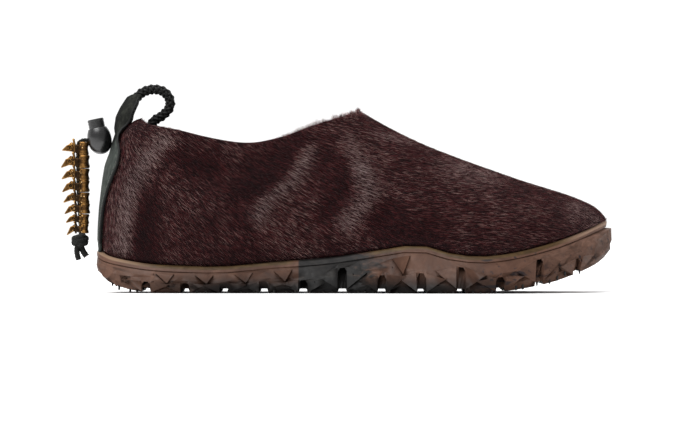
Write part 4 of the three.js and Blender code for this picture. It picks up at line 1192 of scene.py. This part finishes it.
fringe = part_of("fringe", near_collar)
for vert, way, long in zip(fringe.vertices, fringe.attributes["comb"].data,
                           fringe.attributes["length"].data):
    place = from_heel(vert.co)
    up = Vector((-0.35 + 1.1 * climb(place.x, 140, 14), 0, 1))
    way.vector = (up - vert.normal * up.dot(vert.normal)).normalized()
    long.value *= min(max((place.x - 92) / 22, 0.1), 1, max((162 - place.x) / 9, 0.1))
    long.value *= 0.85 + 0.6 * noise.noise(place / 4)
link(plant("hair_fringe", fringe, 2600, 9, lift=(6, 30), sweep=34), "hair_fringe", coat,
     smooth=False)
bpy.data.objects.remove(hair_one)

# %% [markdown]
# ## The insole
# A footbed covered in dark cloth lies in the sole. It shows through the collar, so it gets a weave and a
# soft edge.

# %% Insole
cloth, shader = material("footbed_cloth", Roughness=0.95, Specular_IOR_Level=0.2, Sheen_Weight=0.1)
weave = node(cloth, "ShaderNodeTexVoronoi", Scale=1300,
             Vector=node(cloth, "ShaderNodeTexCoord").outputs["Object"])
put(cloth, shader["Base Color"], ramp(cloth, weave.outputs["Distance"], (0.1, rgb(52, 48, 48)),
                                      (0.7, rgb(26, 24, 25))))
put(cloth, shader["Normal"], bump(cloth, weave.outputs["Distance"], 0.5, 0.0003))
bm = copy_of("insole")
edges = [e for e in bm.edges if len(e.link_faces) == 2 and e.calc_face_angle(0) > math.radians(50)]
bmesh.ops.bevel(bm, geom=edges, offset=0.7 * MM, offset_type="OFFSET", segments=3, profile=0.5,
                affect="EDGES", clamp_overlap=True, material=-1)
footbed = store(bm, "footbed", cloth)
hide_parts("insole")

# %% [markdown]
# ## The heel tab
# A strap of grained leather covers the seam at the heel and stands up as a leaf. Its cut edges are rolled
# in black and a row of stitches runs beside them. The leaf is darker than the strap, and painted shade
# darkens it further along its back, where it folds away.

# %% Leather
leather, shader = material("leather", Specular_IOR_Level=0.08)
z_mm = place_xyz(leather)[2]
cells = node(leather, "ShaderNodeTexVoronoi", {"feature": "SMOOTH_F1"}, Scale=1500, Smoothness=0.6,
             Vector=node(leather, "ShaderNodeTexCoord").outputs["Object"]).outputs["Distance"]
wrinkle = grain(leather, 420, detail=6, rough=0.65, stretch=(1, 1, 0.5))
plain = ramp(leather, wrinkle, (0.3, rgb(36, 39, 37)), (0.52, rgb(54, 58, 55)), (0.74, rgb(78, 82, 77)))
darker = ramp(leather, wrinkle, (0.3, rgb(12, 13, 12)), (0.5, rgb(25, 26, 23)), (0.72, rgb(46, 47, 42)))
back_shade = node(leather, "ShaderNodeAttribute", {"attribute_name": "back_shade"}).outputs["Fac"]
leaf = mix(leather, between(leather, z_mm, 84, 96), plain, darker)
# Painted shade darkens the leaf along its back, where it turns away from the light.
painted_back_shade = math_node(leather, "MULTIPLY", back_shade, 0.9)
put(leather, shader["Base Color"], mix(leather, painted_back_shade, leaf, rgb(9, 10, 9)))
put(leather, shader["Roughness"], between(leather, wrinkle, -1.2, 1.3, smooth=False))
put(leather, shader["Normal"], bump(leather, cells, 0.35, 0.0004, bump(leather, wrinkle, 0.5, 0.0005)))
edge_black, shader = material("edge_black", Roughness=0.55, Specular_IOR_Level=0.15)
put(edge_black, shader["Base Color"], ramp(edge_black, grain(edge_black, 700), (0.3, rgb(10, 10, 10)),
                                           (0.7, rgb(24, 24, 23))))
thread, shader = material("thread", Roughness=0.8, Sheen_Weight=0.3)
put(thread, shader["Base Color"], ramp(thread, grain(thread, 3000), (0.3, rgb(34, 36, 33)),
                                       (0.7, rgb(70, 73, 68))))

# %% [markdown]
# The strap is smoothed in the way the upper was. Its creases are lighter, because thick cut leather has
# rounder edges than a lasted shell. It replaces the plain strap of the measured model.

# %% Strap
bm = copy_of("heel_tab")
bmesh.ops.recalc_face_normals(bm, faces=bm.faces)
crease = bm.edges.layers.float.new("crease_edge")
for edge in bm.edges:
    if len(edge.link_faces) == 2 and edge.calc_face_angle(0) > math.radians(50):
        edge[crease] = 0.35
tab = store(bm, "tab", leather)
smooth = tab.modifiers.new("smooth", "SUBSURF")
smooth.levels = smooth.render_levels = 2
settle(tab)
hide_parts("heel_tab")

# %% [markdown]
# The leaf of the strap is wider and stands further back than the plain model has it. The photograph gives
# its back and its front for each height, so the strap is stretched between them, height by height.

# %% Dress the leaf
LEAF_BACK = [(23.3, 0.4), (26.1, -0.1), (31.6, -0.9), (38.6, -0.7), (49, 0), (59.4, 1.2), (66.4, 2.1),
             (73.3, 3.3), (78, 5), (80.1, 5.9), (86.7, 7.6), (91.3, 9.2), (94.8, 8.7), (101.3, 9.6),
             (106.6, 12.1), (111.4, 15.2), (112.9, 16.3), (114.3, 18)]
LEAF_FOOT, TAB_FOOT = 78, 23.2
LEAF_FRONT = [(78, 14), (81, 13.5), (87.5, 12.2), (90.4, 12.2), (92.5, 13.8), (94.4, 15.3), (97.4, 17.7),
              (99.6, 18.9), (102.7, 19.4), (106.6, 21.1), (112.3, 24), (114.6, 24.6)]


def slice_of(strap, z):
    """The points where a level plane cuts the strap."""
    level = strap.copy()
    cut = bmesh.ops.bisect_plane(level, geom=level.verts[:] + level.edges[:] + level.faces[:],
                                 plane_co=at(0, 0, z), plane_no=(0, 0, 1))["geom_cut"]
    points = [v.co.copy() for v in cut if isinstance(v, bmesh.types.BMVert)]
    level.free()
    return points


strap = bmesh.new()
strap.from_mesh(tab.data)
foot, top = (pick(from_heel(v.co).z for v in strap.verts) for pick in (min, max))
backs, fronts = [], []
for step in range(int((top - foot - 1) / 0.5)):
    z = foot + 0.5 + step * 0.5
    across = [from_heel(p).x for p in slice_of(strap, z)]
    backs.append((z, min(across)))
    fronts.append((z, max(across)))
# Painted shade along the leaf's back: 1 within 1.3 mm of it, gone by 2.6 mm, only on the leaf.
back_shade = strap.verts.layers.float.new("back_shade")
for vert in strap.verts:
    x, _, z = from_heel(vert.co)
    share = climb(z, LEAF_FOOT, 8)
    back, front = from_table(backs, z), from_table(fronts, z)
    want_back, want_front = from_table(LEAF_BACK, z), from_table(LEAF_FRONT, z)
    across = (x - back) / max(front - back, 0.5)
    vert.co.x += ((1 - across) * (want_back - back) + share * across * (want_front - front)) * MM
    vert.co.z -= max(36 - z, 0) / (36 - foot) * (foot - TAB_FOOT) * MM
    vert[back_shade] = share * min(max(1 - (across * (want_front - want_back) - 1.3) / 1.3, 0), 1)
strap.to_mesh(tab.data)
tab.data.update()
print("strap dressed from", round(foot, 1), "to", round(top, 1), "mm")

# %% [markdown]
# A level plane is run through the strap every millimetre and a half. The two ends of each slice are
# points of the cut edges, and its hindmost point tells which way is inward. A tree of the strap's faces
# is kept, to find the leather under each stitch.

# %% Find the strap's edges
EDGE_LOW, EDGE_HIGH, EDGE_STEP = 28.0, 112.5, 1.5
tab_tree = BVHTree.FromBMesh(strap)
levels = [EDGE_LOW + EDGE_STEP * k for k in range(int((EDGE_HIGH - EDGE_LOW) / EDGE_STEP) + 1)]
slices = []
for z in levels:
    cut = slice_of(strap, z)
    slices.append((min(cut, key=lambda p: p.y), max(cut, key=lambda p: p.y), min(cut, key=lambda p: p.x)))
print("strap cut at", len(slices), "levels")

# %% [markdown]
# The rolled edge is one tube through the ends of the slices. The seam runs two millimetres further in, is
# dropped onto the leather, and is then cut into short threads with gaps between them. It stops where the
# leaf stands free.

# %% Rolled edges and stitches
SEAM_IN = 2.0
SEAM_LEVELS = 35
STITCH_LONG, STITCH_GAP, STITCH_WIDE = 2.0, 0.9, 0.26
edge_paths, stitch_paths = [], []
for way in (0, 1):
    edge_paths.append([from_heel(ends[way]) for ends in slices])
    seam = []
    for ends in slices[:SEAM_LEVELS]:
        inward = (ends[2] - ends[way]).normalized()
        guess = ends[way] + inward * SEAM_IN * MM + Vector((-0.5, -0.8 if way == 0 else 0.8, 0)) * MM
        near, facing, _, _ = tab_tree.find_nearest(guess)
        seam.append(from_heel(near + facing * 0.12 * MM))
    seam, _ = smooth_line([tuple(p) for p in seam], 0.25)
    step = round((STITCH_LONG + STITCH_GAP) / 0.25)
    long = round(STITCH_LONG / 0.25)
    stitch_paths += [seam[k:k + long + 1:2] for k in range(0, len(seam) - long, step)]
link(tubes("rolled_edge", edge_paths, 0.72, 10), "rolled_edge", edge_black)
link(tubes("stitches", stitch_paths, STITCH_WIDE), "stitches", thread)
strap.free()

# %% [markdown]
# ## Marks of the mould
# Air leaves a rubber mould through pin holes. They leave a small dot on many facets, and thin black
# whiskers of rubber where the sole was pulled out. Dots are cast onto the sole's side where the photograph
# has them, on both sides; whiskers grow near the foot of the lugs and lean outward.

# %% Dots and whiskers
DOTS = [
    (168.9, 15.1), (176.1, 3.7), (199.6, 8.5), (245.6, 11.6), (260.1, 16.5), (32.9, 11.2), (13.6, 7.3),
    (41, 2.4), (80, 2.2), (109.9, 6.5), (124.7, 6.5), (146.7, 11.1), (142.1, 7), (228, 17), (276, 24),
]
sole_tree = BVHTree.FromPolygons([v.co for v in sole.data.vertices],
                                 [tuple(f.vertices) for f in sole.data.polygons])
bm = bmesh.new()
dots = 0
for x, z in DOTS:
    for way in (-1, 1):
        hit, facing, _, _ = sole_tree.ray_cast(at(x, way * 80, z), Vector((0, -way, 0)))
        if hit:
            made = bmesh.ops.create_uvsphere(bm, u_segments=10, v_segments=6, radius=0.42 * MM)["verts"]
            bmesh.ops.translate(bm, vec=hit - facing * 0.12 * MM, verts=made)
            dots += 1
store(bm, "dots", rubber)
whiskers = []
for way in (-1, 1):
    x = 9.0
    while x < 290:
        rise = max(0, x - 205) ** 1.9 * 0.0042 + max(0, 26 - x) ** 2 * 0.016
        side = sole_tree.ray_cast(at(x, way * 80, rise + 2.4), Vector((0, -way, 0)))[0]
        if side and abs(from_heel(side).y) > 18:
            y = from_heel(side).y - way * 1.4
            foot = sole_tree.ray_cast(at(x, y, -5), Vector((0, 0, 1)))[0]
            low = from_heel(foot).z if foot else 99
            if low < rise + 1.6:
                end = max(0.62, low - random.uniform(0.9, 1.6) * (1 if low < 1.4 else 1.6))
                out = way * (1.8 if low < 1.4 else 0.3) * random.uniform(0.6, 1.2)
                whiskers.append([(x, y, low + 0.5), (x, y + out, max(end, low * 0.6)),
                                 (x + random.uniform(-0.4, 0.4), y + out * 1.15, end)])
        x += random.uniform(3.5, 9.5)
WHISKER_RADIUS = 0.75
whisker_mesh = tubes("whiskers", whiskers, WHISKER_RADIUS, 6, taper=lambda share: 1 - 0.35 * share)
black_rubber, shader = material("black_rubber", Roughness=0.6, Specular_IOR_Level=0.3)
put(black_rubber, shader["Base Color"], ramp(black_rubber, grain(black_rubber, 900), (0.3, rgb(9, 8, 8)),
                                             (0.7, rgb(26, 22, 20))))
link(whisker_mesh, "whiskers", black_rubber)
print(dots, "dots and", len(whiskers), "whiskers")

# %% [markdown]
# ## Floor and light
# The photograph was taken on white under a wide soft light from above and a little to the left, so facets
# that look down go dark. A pale floor, one broad sun lamp and a surround that is brighter behind the shoe
# than in front of it give the same.

# %% Floor
FLOOR_SIDE = 12
bm = bmesh.new()
bmesh.ops.create_grid(bm, x_segments=1, y_segments=1, size=FLOOR_SIDE / 2)
floor_mesh = bpy.data.meshes.new("floor")
bm.to_mesh(floor_mesh)
bm.free()
floor = bpy.data.objects.new("floor", floor_mesh)
bpy.context.scene.collection.objects.link(floor)
floor_white, shader = material("floor_white", Roughness=0.45)
put(floor_white, shader["Base Color"],
    ramp(floor_white, grain(floor_white, 3), (0.3, (0.9, 0.9, 0.9, 1)), (0.7, (0.93, 0.93, 0.93, 1))))
floor_mesh.materials.append(floor_white)
floor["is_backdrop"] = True

# %% [markdown]
# A sun lamp with a wide angle stands for the soft light over the table, and its shadow is equally soft
# everywhere. The surround grows from dim in front of the shoe to bright behind it, so that the rims of
# dark pieces still show against each other.

# %% Light
SUN_FROM = Vector((-0.32, -0.32, 1.0))
SUN_POWER, SUN_SPREAD = 4.6, 50
SHINE_WHERE, SHINE_STRENGTH = (-0.3, 0.4), (0.4, 1.08)
sun_data = bpy.data.lights.new("soft_sun", "SUN")
sun_data.energy, sun_data.angle = SUN_POWER, math.radians(SUN_SPREAD)
sun = bpy.data.objects.new("soft_sun", sun_data)
sun.rotation_euler = SUN_FROM.to_track_quat("Z", "Y").to_euler()
bpy.context.scene.collection.objects.link(sun)
world = bpy.data.worlds.new("surround")
bpy.context.scene.world = world
world.use_nodes = True
links = world.node_tree.links
around = world.node_tree.nodes.new("ShaderNodeTexCoord")
split = world.node_tree.nodes.new("ShaderNodeSeparateXYZ")
shine = world.node_tree.nodes.new("ShaderNodeMapRange")
for socket, value in zip(shine.inputs[1:5], (*SHINE_WHERE, *SHINE_STRENGTH)):
    socket.default_value = value
links.new(around.outputs["Generated"], split.inputs[0])
links.new(split.outputs["Y"], shine.inputs[0])
links.new(shine.outputs[0], world.node_tree.nodes["Background"].inputs["Strength"])
world.node_tree.nodes["Background"].inputs["Color"].default_value = (1, 1, 1, 1)
bpy.context.scene.view_settings.view_transform = "Standard"

# %% [markdown]
# Last, the dressed shoe's box is measured and printed.

# %% Measure and finish
low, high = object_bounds()
print("scene box", [round(v, 4) for v in (*low, *high)])
